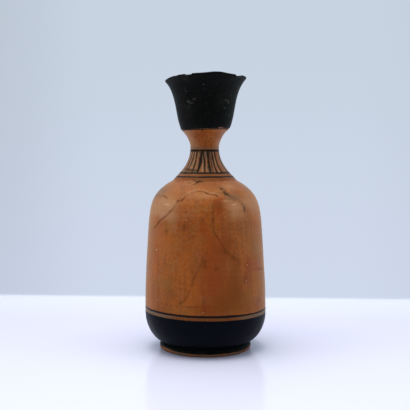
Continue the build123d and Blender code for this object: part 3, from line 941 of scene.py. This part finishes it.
def make_neck():
    """The neck with its tongues and lines."""
    outside = neck_outside()
    throat_low = NECK_TOP - THROAT_LENGTH
    funnel = flowing((THROAT_RADIUS, throat_low), -90, (SPIGOT_BORE_RADIUS, SPIGOT_END), -90)
    spigot = line((SPIGOT_RADIUS, SPIGOT_END), (SPIGOT_RADIUS, NECK_BASE))
    bed = line((SPIGOT_RADIUS, NECK_BASE), (NECK_EDGE_RADIUS, NECK_BASE))
    edge = line((NECK_EDGE_RADIUS, NECK_BASE), outside[0])
    top = line(outside[-1], (THROAT_RADIUS, NECK_TOP))
    throat = line((THROAT_RADIUS, NECK_TOP), (THROAT_RADIUS, throat_low))
    end = line((SPIGOT_BORE_RADIUS, SPIGOT_END), (SPIGOT_RADIUS, SPIGOT_END))
    grid = turned([(spigot, 1.2, False), (bed, 1.2, False), (edge, 0.2, True), (outside, 0.2, True),
                   (top, 1.2, False), (throat, 2, False), (funnel, 2, False), (end, 1.2, False)],
                  front_columns(*NECK_COLUMNS), ring=True)
    press(grid, rough(grid, NECK_DENTS) * grid.shown)

    # Three lines round the neck
    hand = rough(grid, NECK_HAND)
    uneven = lumps(grid, upright(4), 15)
    thick = 0.17 * smooth(grid.angle, -16, -6) * smooth(grid.angle, 40, 28)
    low_line = LOW_LINE_HALF + thick - np.abs(grid.path - path_at(grid, NECK_LOW_LINE) - hand)
    base_line = BASE_LINE_HALF + 0.10 * uneven - np.abs(grid.path - path_at(grid, TONGUE_BASE) - hand)
    high_line = HIGH_LINE_HALF + 0.12 * uneven - np.abs(grid.path - path_at(grid, NECK_HIGH_LINE) + hand)
    glaze = np.maximum(np.maximum(low_line, base_line), high_line)
    wash = np.full_like(glaze, 0.2)

    # Tongues between the upper two, each with its own wash, and pale scrapes beside them
    from_top = path_at(grid, TONGUE_TOP) - grid.path
    from_base = grid.path - path_at(grid, TONGUE_BASE)
    down = np.clip(from_top / (path_at(grid, TONGUE_TOP) - path_at(grid, TONGUE_BASE)), 0, 1)
    within = np.minimum(from_top, from_base)
    for angles, widths, tone in [*TONGUES, *back_tongues()]:
        bow = 0.10 * np.sin(down * 7 + angles[0])
        aside = np.abs(across(grid, np.interp(down, STROKE_SPOTS, angles)) + bow)
        half = np.interp(down, STROKE_SPOTS, widths) + BRUSH_SPREAD + 0.08 * np.sin(down * 9 + 2 * angles[0])
        stroke = np.minimum(half - aside, within + 0.4)
        wash = np.where((stroke > glaze) & (stroke > -0.4), 1.25 - tone, wash)
        glaze = np.maximum(glaze, stroke)
    bloom = np.zeros_like(glaze)
    for angles, half, strength in PALE_STROKES:
        aside = across(grid, np.interp(down, STROKE_SPOTS, angles)) / half
        bloom += 1.8 * strength * np.exp(-aside ** 2) * smooth(within, 0, 1.2)
    drip = np.minimum(DRIP_HALF - np.abs(across(grid, DRIP_ANGLE)), grid.path - path_at(grid, DRIP_END))
    glaze = np.maximum(glaze, drip)

    # Darker, greyer clay in the band of tongues; lighter clay above it and on the left, and above the band
    # painted sheen towards both sides, where the upper neck turns away
    band = smooth(within, -0.4, 0.6)
    under_band = smooth(from_base, 0, -0.5)
    upper = smooth(from_top, 0, -1)
    cloudy = lumps(grid, 4.0, 18)
    left = hump(grid.angle, -64, 28)
    grime = band * (0.5 + 0.4 * lumps(grid, 3.0, 17) - 0.2 * left) + 0.55 * hump(grid.height, 117.8, 1.1)
    bloom = bloom + under_band * (0.25 + 0.3 * cloudy) + 0.9 * band * left
    # Painted sheen towards both sides of the upper neck
    bloom = bloom + upper * (0.1 + 0.45 * smooth(np.abs(grid.angle), 5, 70) + 0.2 * cloudy + 0.25 * left)
    dusky = 0.95 * under_band + 0.6 * band * smooth(from_base, 3.5, 0.5)
    scuffs = 0.55 * smooth(lumps(grid, 1.4, 19), 0.0, 0.5)
    grid.marks = marks_of(grid, glaze=paint(grid, glaze), wash=np.clip(wash, 0, 1), bloom=bloom * grid.shown,
                          stain=blots(grid, NECK_STAINS) + 0.4 * smooth(lumps(grid, 1.3, 20), 0.2, 0.6),
                          ruddy=np.clip(blots(grid, NECK_RUDDY), 0, 1), grime=grime * grid.shown,
                          dusky=dusky * grid.shown, wear=scuffs * grid.shown)
    make_piece("neck", grid, "orange_clay", painted_clay, olive_gloss)


# Mouth

WORN_SPOTS = (
    (-33, 144.5, 0.9, 0.7, 0.8), (-26, 143.3, 1.2, 0.6, 0.7), (-21, 145.5, 1.2, 0.8, 0.5),
    (47.5, 144.1, 0.8, 1.2, 0.75), (40, 145, 1.2, 1, 0.5), (39.7, 140.1, 0.7, 0.7, 0.6),
    (-3, 153.5, 0.5, 0.5, 0.9), (-40, 150, 2.5, 2, 0.3), (52, 136, 2.2, 1.6, 0.3), (-36, 141, 3, 5, 0.16),
    (46, 148, 4, 4, 0.14), (160, 146, 2, 2, 0.6), (110, 139, 1.5, 1.5, 0.6), (-120, 150, 1.5, 1.2, 0.7),
)
CHIP_ANGLE = 38
CHIP_HALF_WIDTH = 1.8
CHIP_TOP = 129.3
MOUTH_COLUMNS = (95, 300, 150)
MOUTH_DENTS = ((0.09, 9, 21), (0.04, 2.6, 22))
# Width of the cup's round lower edge and of the round corner inside, and the points of the wall's curves
# that they take up
EDGE_WIDTH = 0.6
EDGE_POINTS = 4
CORNER_WIDTH = 1.8
CORNER_POINTS = 20


def make_mouth():
    """The calyx cup under its worn gloss."""
    outer_centre = np.array([LIP_RADIUS - LIP_OUTER_ROUND, MOUTH_TOP - LIP_OUTER_ROUND])
    inner_centre = np.array([outer_centre[0] - LIP_FLAT, MOUTH_TOP - LIP_INNER_ROUND])
    lip_outside = outer_centre + heading(LIP_SLOPE - 90) * LIP_OUTER_ROUND
    lip_inside = inner_centre + heading(LIP_SLOPE + 90) * LIP_INNER_ROUND
    floor = MOUTH_BASE + MOUTH_FLOOR
    wall_base = (MOUTH_BASE_RADIUS, MOUTH_BASE)
    cup_base = (MOUTH_BASE_RADIUS - MOUTH_WALL, floor)
    wall = flowing(wall_base, MOUTH_BASE_SLOPE, lip_outside, LIP_SLOPE, MOUTH_FULLNESS)[EDGE_POINTS:]
    cup = flowing(cup_base, MOUTH_BASE_SLOPE, lip_inside, LIP_SLOPE, MOUTH_FULLNESS)[CORNER_POINTS:]
    outer_lip = arc(outer_centre, LIP_OUTER_ROUND, LIP_OUTER_ROUND, LIP_SLOPE - 90, 90)
    inner_lip = arc(inner_centre, LIP_INNER_ROUND, LIP_INNER_ROUND, 90, LIP_SLOPE + 90)
    corner = flowing(cup[0], MOUTH_BASE_SLOPE - 180, (cup_base[0] - CORNER_WIDTH, floor), 180)
    funnel = line((MOUTH_FUNNEL_RADIUS, floor), (MOUTH_HOLE_RADIUS, MOUTH_BASE))
    under = line((MOUTH_HOLE_RADIUS, MOUTH_BASE), (MOUTH_BASE_RADIUS - EDGE_WIDTH, MOUTH_BASE))
    round_edge = flowing(under[-1], 0, wall[0], MOUTH_BASE_SLOPE)
    grid = turned([(under, 1.5, False), (round_edge, 0.2, True), (wall, 0.42, True), (outer_lip, 0.2, True),
                   (line(outer_lip[-1], inner_lip[0]), 0.3, False), (inner_lip, 0.35, False),
                   (cup[::-1], 0.9, False), (corner, 0.5, False), (line(corner[-1], funnel[0]), 0.8, False),
                   (funnel, 0.8, False)],
                  front_columns(*MOUTH_COLUMNS), ring=True)
    crest = smooth(grid.height, MOUTH_TOP - 4, MOUTH_TOP - 1)
    bites = crest * 0.25 * smooth(lumps(grid, 2.4, 23), 0.1, 0.6)
    press(grid, rough(grid, MOUTH_DENTS) * smooth(grid.height, MOUTH_BASE, MOUTH_BASE + 2) - bites)

    hand = 0.2 * lumps(grid, upright(3), 24)
    low_edge = grid.path - path_at(grid, MOUTH_BASE + 0.15) + hand
    chip = np.maximum(np.abs(across(grid, CHIP_ANGLE)) - CHIP_HALF_WIDTH, grid.path - path_at(grid, CHIP_TOP))
    inside = np.where(grid.height > MOUTH_BASE + 1, PAINT_REACH, -PAINT_REACH)
    scuffs = smooth(lumps(grid, 3.0, 25), 0.15, 0.6)
    # Painted shade down the front of the cup, where its gloss faces the camera and reflects the dim room
    # behind: darker clay, and less bloom and wash on the gloss there
    painted_front_shade = hump(grid.angle, 4, 24)
    grid.marks = marks_of(grid, glaze=paint(grid, np.minimum(low_edge, chip + hand), inside), grime=0.8,
                          pale=blots(grid, WORN_SPOTS), dusky=0.95 * painted_front_shade,
                          wear=0.45 * crest * scuffs - 0.14,
                          wash=0.05 * smooth(lumps(grid, 6, 26), 0.0, 0.6) * (1 - painted_front_shade))
    make_piece("mouth", grid, "black_gloss", olive_gloss)


# Foot and beds of slip

FOOT_COLUMNS = 400
FOOT_SWELL = 0.14
FOOT_DENTS = ((0.08, 5, 31), (0.05, 1.8, 32))
FOOT_HAND = ((0.25, upright(4), 34), (0.12, upright(1.5), 35))
# Where the reserved clay climbs on the foot's edge: rise, angle and half reach
FOOT_CLIMBS = ((0.9, -62, 22), (0.5, 78, 14))
# How far the neck's slip was smoothed up the flare and down the shoulder, and how deep its edges end in both
COVE_RISE = 0.35
COVE_SPREAD = 1.3
COVE_TOP_DEPTH = 0.06
COVE_LOW_DEPTH = 0.05
BED_COLUMNS = 240
NECK_BED_COLUMNS = (95, 260, 110)


def make_foot():
    """The disc with its reserved lower edge and its hollow underside."""
    rest = FOOT_RADIUS - FOOT_EDGE_BULGE
    middle = (FOOT_TOP + FOOT_BASE) / 2
    half_height = (FOOT_TOP - FOOT_BASE) / 2
    hollow = line((0, FOOT_HOLLOW), (rest - FOOT_REST_WIDTH, FOOT_BASE), (rest, FOOT_BASE))
    edge = arc((rest, middle), FOOT_EDGE_BULGE, half_height, -90, 90)
    top = line((rest, FOOT_TOP), (0, FOOT_TOP))
    grid = turned([(hollow, 1.2, False), (edge, 0.16, True), (top, 1.5, False)], even_columns(FOOT_COLUMNS))
    nicks = 0.3 * smooth(lumps(grid, 3.0, 33), 0.35, 0.75)
    lift = smooth(grid.height, 0.05, 0.6) * smooth(grid.radius, 24, 25.9)
    press(grid, (FOOT_SWELL + rough(grid, FOOT_DENTS) - nicks) * lift)

    clay_top = FOOT_CLAY_TOP + swells(grid, FOOT_CLIMBS) - rough(grid, FOOT_HAND)
    glaze = np.where(grid.height > FOOT_TOP - 0.01, 2.0, grid.height - clay_top)
    hidden = (grid.height < 0.01) | (grid.radius < rest - 0.5) & (grid.height < FOOT_HOLLOW + 0.1)
    grid.marks = marks_of(grid, glaze=np.where(hidden, -PAINT_REACH, glaze),
                          grime=0.65 + 0.3 * lumps(grid, 4, 37),
                          wear=0.25 * smooth(lumps(grid, 2.5, 36), 0, 0.6))
    make_piece("foot", grid, "black_gloss", olive_gloss)


def neck_cove():
    """The smoothed face of the neck's slip, from the shoulder up onto the neck's flare."""
    shoulder, flare = body_outside(), neck_outside()
    low_radius = SEAT_RADIUS + COVE_SPREAD
    top_height = NECK_BASE + NECK_EDGE_HEIGHT + COVE_RISE
    low_height = np.interp(-low_radius, -shoulder[-CURVE_POINTS:, 0], shoulder[-CURVE_POINTS:, 1])
    top_radius = np.interp(top_height, flare[:, 1], flare[:, 0])
    low = (low_radius, low_height - COVE_LOW_DEPTH)
    top = (top_radius - COVE_TOP_DEPTH, top_height)
    return flowing(low, 180 - SEAT_SLOPE, top, 180 - NECK_FLARE_SLOPE)


def bed_of(corners, steps, ring):
    """A bed of slip with straight sides between its corners. Its second side is on show."""
    sides = enumerate(zip(corners, corners[1:], steps))
    stretches = [(line(start, end), step, number == 1) for number, (start, end, step) in sides]
    return turned(stretches, even_columns(BED_COLUMNS), ring)


def make_flat_beds():
    """The beds under the body and under the mouth, squeezed out unevenly at their edges."""
    foot_bed = bed_of([(0, FOOT_TOP), (BASE_RADIUS, FOOT_TOP), (BASE_RADIUS, BODY_BASE), (0, BODY_BASE)],
                      (3, 0.1, 3), ring=False)
    mouth_bed = bed_of([(MOUTH_HOLE_RADIUS, NECK_TOP), (MOUTH_BED_RADIUS, NECK_TOP),
                        (MOUTH_BED_RADIUS, MOUTH_BASE), (MOUTH_HOLE_RADIUS, MOUTH_BASE),
                        (MOUTH_HOLE_RADIUS, NECK_TOP)], (1.2, 0.1, 1.2, 0.2), ring=True)
    for name, grid, squeeze, glaze, seed in (("foot_slip", foot_bed, 0.5, 3.0, 41),
                                             ("mouth_slip", mouth_bed, 0.35, 1.0, 43)):
        low, high = grid.height.min(), grid.height.max()
        crown = 1 - ((grid.height - low) / (high - low) * 2 - 1) ** 2
        press(grid, squeeze * crown * (0.8 + 0.5 * lumps(grid, 4, seed)) * grid.shown)
        grid.marks = marks_of(grid, glaze=glaze, wear=0.1)
        make_piece(name, grid, "luting_slip", slip_clay)


def make_neck_bed():
    """The neck's bed, smoothed down from the flare to the shoulder."""
    cove = neck_cove()
    grid = turned([(line((SPIGOT_RADIUS, CEILING_HEIGHT), (OPENING_RADIUS, CEILING_HEIGHT)), 0.4, False),
                   (line((OPENING_RADIUS, CEILING_HEIGHT), (OPENING_RADIUS, SEAT_HEIGHT)), 1, False),
                   (line((OPENING_RADIUS, SEAT_HEIGHT), cove[0]), 1, False),
                   (cove, 0.15, True),
                   (line(cove[-1], (SPIGOT_RADIUS, NECK_BASE)), 1, False),
                   (line((SPIGOT_RADIUS, NECK_BASE), (SPIGOT_RADIUS, CEILING_HEIGHT)), 1, False)],
                  front_columns(*NECK_BED_COLUMNS), ring=True)
    press(grid, 0.06 * lumps(grid, 3, 42) * grid.shown)
    # Painted shade in the crease where the slip meets the neck's flare, strongest at the front
    painted_crease_shade = smooth(grid.height, NECK_BASE - 2.5, NECK_BASE + 0.5) * (0.5 + 0.5 * hump(grid.angle, 5, 40))
    stain = 0.3 * smooth(lumps(grid, 1.8, 44), 0.15, 0.6) + 0.3 * painted_crease_shade + blots(grid, FLAKES)
    bloom = (0.3 + 0.3 * lumps(grid, 4, 45)) * (1 - painted_crease_shade)
    grid.marks = marks_of(grid, stain=stain, bloom=bloom, dusky=painted_crease_shade)
    make_piece("neck_slip", grid, "luting_slip", painted_clay)


# Handle

STRAP_SIDES = 64
STRAP_STEP = 0.5
# Powers that square the strap's section across and through, and how deep its ends are sunk
STRAP_SQUARENESS = (0.72, 0.9)
SUNK = 1.4
STRAP_JITTER = ((0.10, 6, 61), (0.04, 1.8, 64))
# Rows of the fillet of slip, and rows of the strap that show its direction
FILLET_ROWS = 9
STRAP_LOOK = 6


def strap_line():
    """The middle of the strap in the plane of Y and Z, from the neck to the shoulder."""
    root_radius = (NECK_EDGE_RADIUS + BELLY_RADIUS - SHOULDER_TAPER) / 2
    turn_left = HANDLE_CLIMB + 90 - HANDLE_BEND
    start = np.array([0.0, NECK_TOP - HANDLE_DROP])
    climb = start + heading(HANDLE_CLIMB) * HANDLE_REACH
    bend_centre = climb + heading(HANDLE_CLIMB - 90) * HANDLE_BEND_RADIUS
    bend = arc(bend_centre, HANDLE_BEND_RADIUS, HANDLE_BEND_RADIUS, HANDLE_CLIMB + 90, turn_left)
    bow_radius = (root_radius - bend[-1][0]) / (1 - cos(radians(turn_left)))
    bow_centre = bend[-1] - heading(turn_left) * bow_radius
    bow = arc(bow_centre, bow_radius, bow_radius, turn_left, 0)
    drop = line(bow[-1], (root_radius, SEAT_HEIGHT - SHOULDER_DROP))
    return np.concatenate([line(start, climb), bend[1:], bow[1:], drop[1:]])


def strap_grid(middle):
    """The strap round its whole middle line: rows along it, columns round its section."""
    along = np.gradient(middle, axis=0)
    along /= np.linalg.norm(along, axis=1)[:, None]
    spot = np.linspace(0, 1, len(middle))
    width = HANDLE_WIDTH + (HANDLE_END_WIDTH - HANDLE_WIDTH) * (2 * spot - 1) ** 2
    phi = np.linspace(0, 2 * pi, STRAP_SIDES, endpoint=False)
    aside = np.sign(np.cos(phi)) * np.abs(np.cos(phi)) ** STRAP_SQUARENESS[0]
    above = np.sign(np.sin(phi)) * np.abs(np.sin(phi)) ** STRAP_SQUARENESS[1]
    x = width[:, None] / 2 * aside[None, :]
    lift = HANDLE_THICKNESS / 2 * above[None, :]
    y = middle[:, :1] - along[:, 1:] * lift
    z = middle[:, 1:] + along[:, :1] * lift
    return np.stack([x, y, z], 2), above


def vessel_gap(place, outline):
    """How far points stand outside a turned outline, measured level."""
    radius = np.hypot(place[..., 0], place[..., 1])
    return radius - np.interp(place[..., 2], outline[:, 1], outline[:, 0])


def free_grid(place, length, ring):
    """A grid of free points without poles, with the fields that make_piece and lumps read."""
    rows, columns = place.shape[:2]
    path = np.linspace(0, length, rows)[:, None] * np.ones((rows, columns))
    return SimpleNamespace(outline=np.ones((rows, 2)), place=place, path=path, height=place[..., 2],
                           ring=ring, marks={})


def jitter(grid, size, seed):
    """A soft random shift of each point of a grid."""
    return np.stack([lumps(grid, size, seed + axis) for axis in range(3)], 2)


def collar(place, outline, start, direction, size, seed):
    """A smeared fillet of slip round one end of the strap, where it meets the vessel."""
    count = place.shape[1]
    gaps = vessel_gap(place, outline)
    touch = []
    up_strap = []
    for column in range(count):
        row = start
        while gaps[row, column] > 0:
            row += direction
        last = row - direction
        share = gaps[last, column] / (gaps[last, column] - gaps[row, column])
        touch.append(place[last, column] * (1 - share) + place[row, column] * share)
        up_strap.append(place[last - direction * STRAP_LOOK, column] - place[last, column])
    touch = np.array(touch)
    up_strap = np.array(up_strap)
    up_strap /= np.linalg.norm(up_strap, axis=1)[:, None]

    # The vessel's outward direction at the joint, and the one along its surface away from the strap
    radius = np.hypot(touch[:, 0], touch[:, 1])
    slope = np.gradient(outline[:, 0], outline[:, 1])
    lean = np.interp(touch[:, 2], outline[:, 1], slope)
    normal = np.stack([touch[:, 0] / radius, touch[:, 1] / radius, -lean], 1)
    normal /= np.linalg.norm(normal, axis=1)[:, None]
    away = touch - touch.mean(0)
    away -= (away * normal).sum(1)[:, None] * normal
    away /= np.linalg.norm(away, axis=1)[:, None]

    # A hollow curve from the vessel up the strap, closed under both surfaces
    around = np.linspace(0, 2 * pi, count, endpoint=False)
    ragged = np.array([noise.noise((2.2 * cos(spot), 2.2 * sin(spot), seed)) for spot in around])
    reach_out = (size * (1 + 0.45 * ragged))[:, None]
    high_end = touch + up_strap * reach_out - away * 0.25
    low_end = touch + away * reach_out - 0.35 * normal
    knee = touch + 0.12 * reach_out * (up_strap + away)
    rows = []
    for t in np.linspace(0, 1, FILLET_ROWS):
        rows.append((1 - t) ** 2 * low_end + 2 * t * (1 - t) * knee + t ** 2 * high_end)
    rows.append(touch + up_strap * reach_out * 0.6 - away * 0.8)
    rows.append(touch - away * 0.8 - 0.8 * normal)
    rows.append(touch + away * reach_out * 0.5 - 0.9 * normal)
    rows = np.array(rows)
    return free_grid(rows[:, ::-1] if direction < 0 else rows, size * 4, ring=True)


def make_handle():
    """The pulled strap, sunk a little into neck and shoulder, and the slip smeared round its ends."""
    neck_line, body_line = neck_outside(), body_outside()
    middle = spaced(strap_line(), STRAP_STEP)
    whole, above = strap_grid(middle)
    neck_gap = vessel_gap(whole, neck_line).max(1)
    body_gap = np.where(middle[:, 1] < SEAT_HEIGHT, vessel_gap(whole, body_line).max(1), 9)
    first = np.argmax(neck_gap > -SUNK)
    last = len(middle) - np.argmax(body_gap[::-1] > -SUNK)
    free = len(middle) // 3
    near_shoulder = np.argmax(middle[:, 1] < SEAT_HEIGHT + 3)
    for name, grid in (("handle_top_slip", collar(whole, neck_line, free, -1, 1.7, 3.1)),
                       ("handle_root_slip", collar(whole, body_line, near_shoulder, 1, 2.2, 8.4))):
        grid.place = grid.place + 0.12 * jitter(grid, 2.2, 51)
        grid.marks = marks_of(grid, glaze=0.6 + 0.9 * lumps(grid, 5, 54), wear=0.2)
        make_piece(name, grid, "luting_slip", slip_clay)

    strap = whole[first:last]
    low_end = strap[:1].mean(1, keepdims=True) + 0 * strap[:1]
    high_end = strap[-1:].mean(1, keepdims=True) + 0 * strap[-1:]
    grid = free_grid(np.concatenate([low_end, strap, high_end])[:, ::-1], len(strap) * STRAP_STEP, ring=False)
    grid.outline[[0, -1], 0] = 0
    grid.place = grid.place + sum(shift * jitter(grid, size, seed) for shift, size, seed in STRAP_JITTER)
    outer = np.broadcast_to(above[::-1], grid.height.shape)
    glaze = 2.2 * (outer + 0.45) + 0.5 * lumps(grid, 4, 67)
    edges = smooth(np.abs(outer), 0.7, 0.3)
    grid.marks = marks_of(grid, glaze=np.clip(glaze, -PAINT_REACH, PAINT_REACH), wash=0.08, bloom=0.5,
                          wear=0.28 * edges + 0.2 * lumps(grid, 5, 68))
    make_piece("handle", grid, "black_gloss", olive_gloss)


make_body()
make_neck()
make_mouth()
make_foot()
make_flat_beds()
make_neck_bed()
make_handle()


# Stage, light and camera, in metres

# The table's far edge, its slant, the half width of its blur, and the table's reach to the other sides
TABLE_BACK = 0.162
TABLE_SLANT = -0.06
TABLE_SOFT = 0.008
TABLE_REACH = 1.6
TABLE_GRAIN = (180, 2, 0.55, EVEN, 0)
TABLE_ROUGHNESS = 0.14
TABLE_SHINE = 0.18
TABLE_NEAR = (0.600, 0.600, 0.708)
TABLE_MIDDLE = (0.585, 0.575, 0.712)
TABLE_FAR = (0.635, 0.640, 0.735)
CAMERA_PLACE = (-0.00047, -0.4638, 0.1145)
CAMERA_PITCH = 3.72
FOCAL_PIXELS = 789.2
IMAGE_PIXELS = 410
SENSOR = 36.0
BACKDROP_LOW = (0.624, 0.694, 0.840)
BACKDROP_HIGH = (0.578, 0.651, 0.753)
SKY = (0.71, 0.84, 1.0)
WARM = (1.0, 0.96, 0.88)
LAMP_AIM = (0, 0, 0.08)
LAMPS = (
    # Name, place, size and power
    ("overhead_lamp", (-0.05, -0.06, 0.95), 0.68, 10.0),
    ("left_lamp", (-0.80, -0.32, 0.42), 0.50, 0.9),
    ("right_lamp", (0.80, -0.32, 0.40), 0.50, 0.72),
)


def make_table():
    """A white table top whose far edge is blurred, a hand's breadth behind the flask."""
    far = TABLE_BACK + 4 * TABLE_SOFT
    tilt = TABLE_SLANT * TABLE_REACH
    corners = ((-TABLE_REACH, -TABLE_REACH, 0), (TABLE_REACH, -TABLE_REACH, 0), (TABLE_REACH, far + tilt, 0),
               (-TABLE_REACH, far - tilt, 0))
    mesh = bpy.data.meshes.new("table")
    mesh.from_pydata(corners, [], [(0, 1, 2, 3)])
    finish = Finish("white_table")
    spot = finish.add("ShaderNodeSeparateXYZ", {0: finish.places})
    depth = finish.maths("MULTIPLY_ADD", spot.outputs["X"], -TABLE_SLANT, spot.outputs["Y"])
    # The table's tone changes with depth, painted light and shade across the top: a darker, more violet band
    # at the flask's depth, and a paler one at the back
    cloudy = finish.frayed(depth, finish.grain(*TABLE_GRAIN), 0.05)
    tone = finish.mix(finish.step(cloudy, -0.07, 0.03), TABLE_NEAR, TABLE_MIDDLE)
    tone = finish.mix(finish.step(cloudy, 0.07, 0.15), tone, TABLE_FAR)
    fade = finish.step(depth, TABLE_BACK - TABLE_SOFT, TABLE_BACK + TABLE_SOFT, 1, 0)
    finish.shade({"Base Color": tone, "Alpha": fade, "Roughness": TABLE_ROUGHNESS,
                  "Specular IOR Level": TABLE_SHINE})
    mesh.materials.append(finish.material)
    table = bpy.data.objects.new("table", mesh)
    bpy.context.scene.collection.objects.link(table)


def make_world():
    """Pale surroundings, dimmer behind the camera, with the photo's backdrop where they are seen."""
    world = bpy.data.worlds.new("surroundings")
    bpy.context.scene.world = world
    world.use_nodes = True
    world.node_tree.nodes.clear()
    nodes = Nodes(world.node_tree)
    places = nodes.add("ShaderNodeTexCoord").outputs["Generated"]
    way = nodes.add("ShaderNodeSeparateXYZ", {0: places}).outputs
    rays = nodes.add("ShaderNodeLightPath").outputs

    from_left = nodes.step(way["X"], 0.5, -0.9, 0, 0.67)
    from_right = nodes.step(way["X"], 0.2, 0.9, 0, 0.64)
    sides = nodes.maths("ADD", from_left, from_right)
    level = nodes.maths("ADD", nodes.step(way["Y"], -0.8, 0, 0.15, 0.65), sides)
    light = nodes.add("ShaderNodeBackground", {"Color": SKY, "Strength": level})

    tint = nodes.mix(nodes.step(way["Z"], -0.25, 0.2), BACKDROP_LOW, BACKDROP_HIGH)
    dim_left = nodes.step(way["X"], -0.27, -0.12, 0.88, 1)
    dim_right = nodes.step(way["X"], 0.18, 0.27, 1, 0.97)
    dim_behind = nodes.maths("MAXIMUM", nodes.step(way["Y"], -0.6, 0.1, 0.25, 1), rays["Is Camera Ray"])
    strength = nodes.maths("MULTIPLY", nodes.maths("MULTIPLY", dim_left, dim_right), dim_behind)
    seen = nodes.add("ShaderNodeBackground", {"Color": tint, "Strength": strength})

    mirrored = nodes.maths("MAXIMUM", rays["Is Glossy Ray"], rays["Is Transmission Ray"])
    share = nodes.maths("MAXIMUM", rays["Is Camera Ray"], mirrored)
    choice = nodes.add("ShaderNodeMixShader", {0: share, 1: light.outputs[0], 2: seen.outputs[0]})
    nodes.add("ShaderNodeOutputWorld", {"Surface": choice.outputs[0]})


def make_lamp(name, place, size, power):
    """A soft square lamp that shines on the flask."""
    lamp = bpy.data.lights.new(name, "AREA")
    lamp.size = size
    lamp.energy = power
    lamp.color = WARM
    thing = bpy.data.objects.new(name, lamp)
    thing.location = place
    thing.rotation_euler = (Vector(LAMP_AIM) - Vector(place)).to_track_quat("-Z", "Y").to_euler()
    bpy.context.scene.collection.objects.link(thing)


def make_camera():
    """The camera at the photo's place, with the photo's square frame."""
    camera = bpy.data.cameras.new("camera")
    camera.sensor_width = SENSOR
    camera.sensor_fit = "HORIZONTAL"
    camera.lens = SENSOR * FOCAL_PIXELS / IMAGE_PIXELS
    camera.clip_start = 0.01
    thing = bpy.data.objects.new("camera", camera)
    thing.location = CAMERA_PLACE
    thing.rotation_euler = (radians(90 - CAMERA_PITCH), 0, 0)
    bpy.context.scene.collection.objects.link(thing)
    bpy.context.scene.camera = thing


make_table()
make_world()
for lamp_row in LAMPS:
    make_lamp(*lamp_row)
make_camera()
bpy.context.scene.view_settings.view_transform = "Standard"
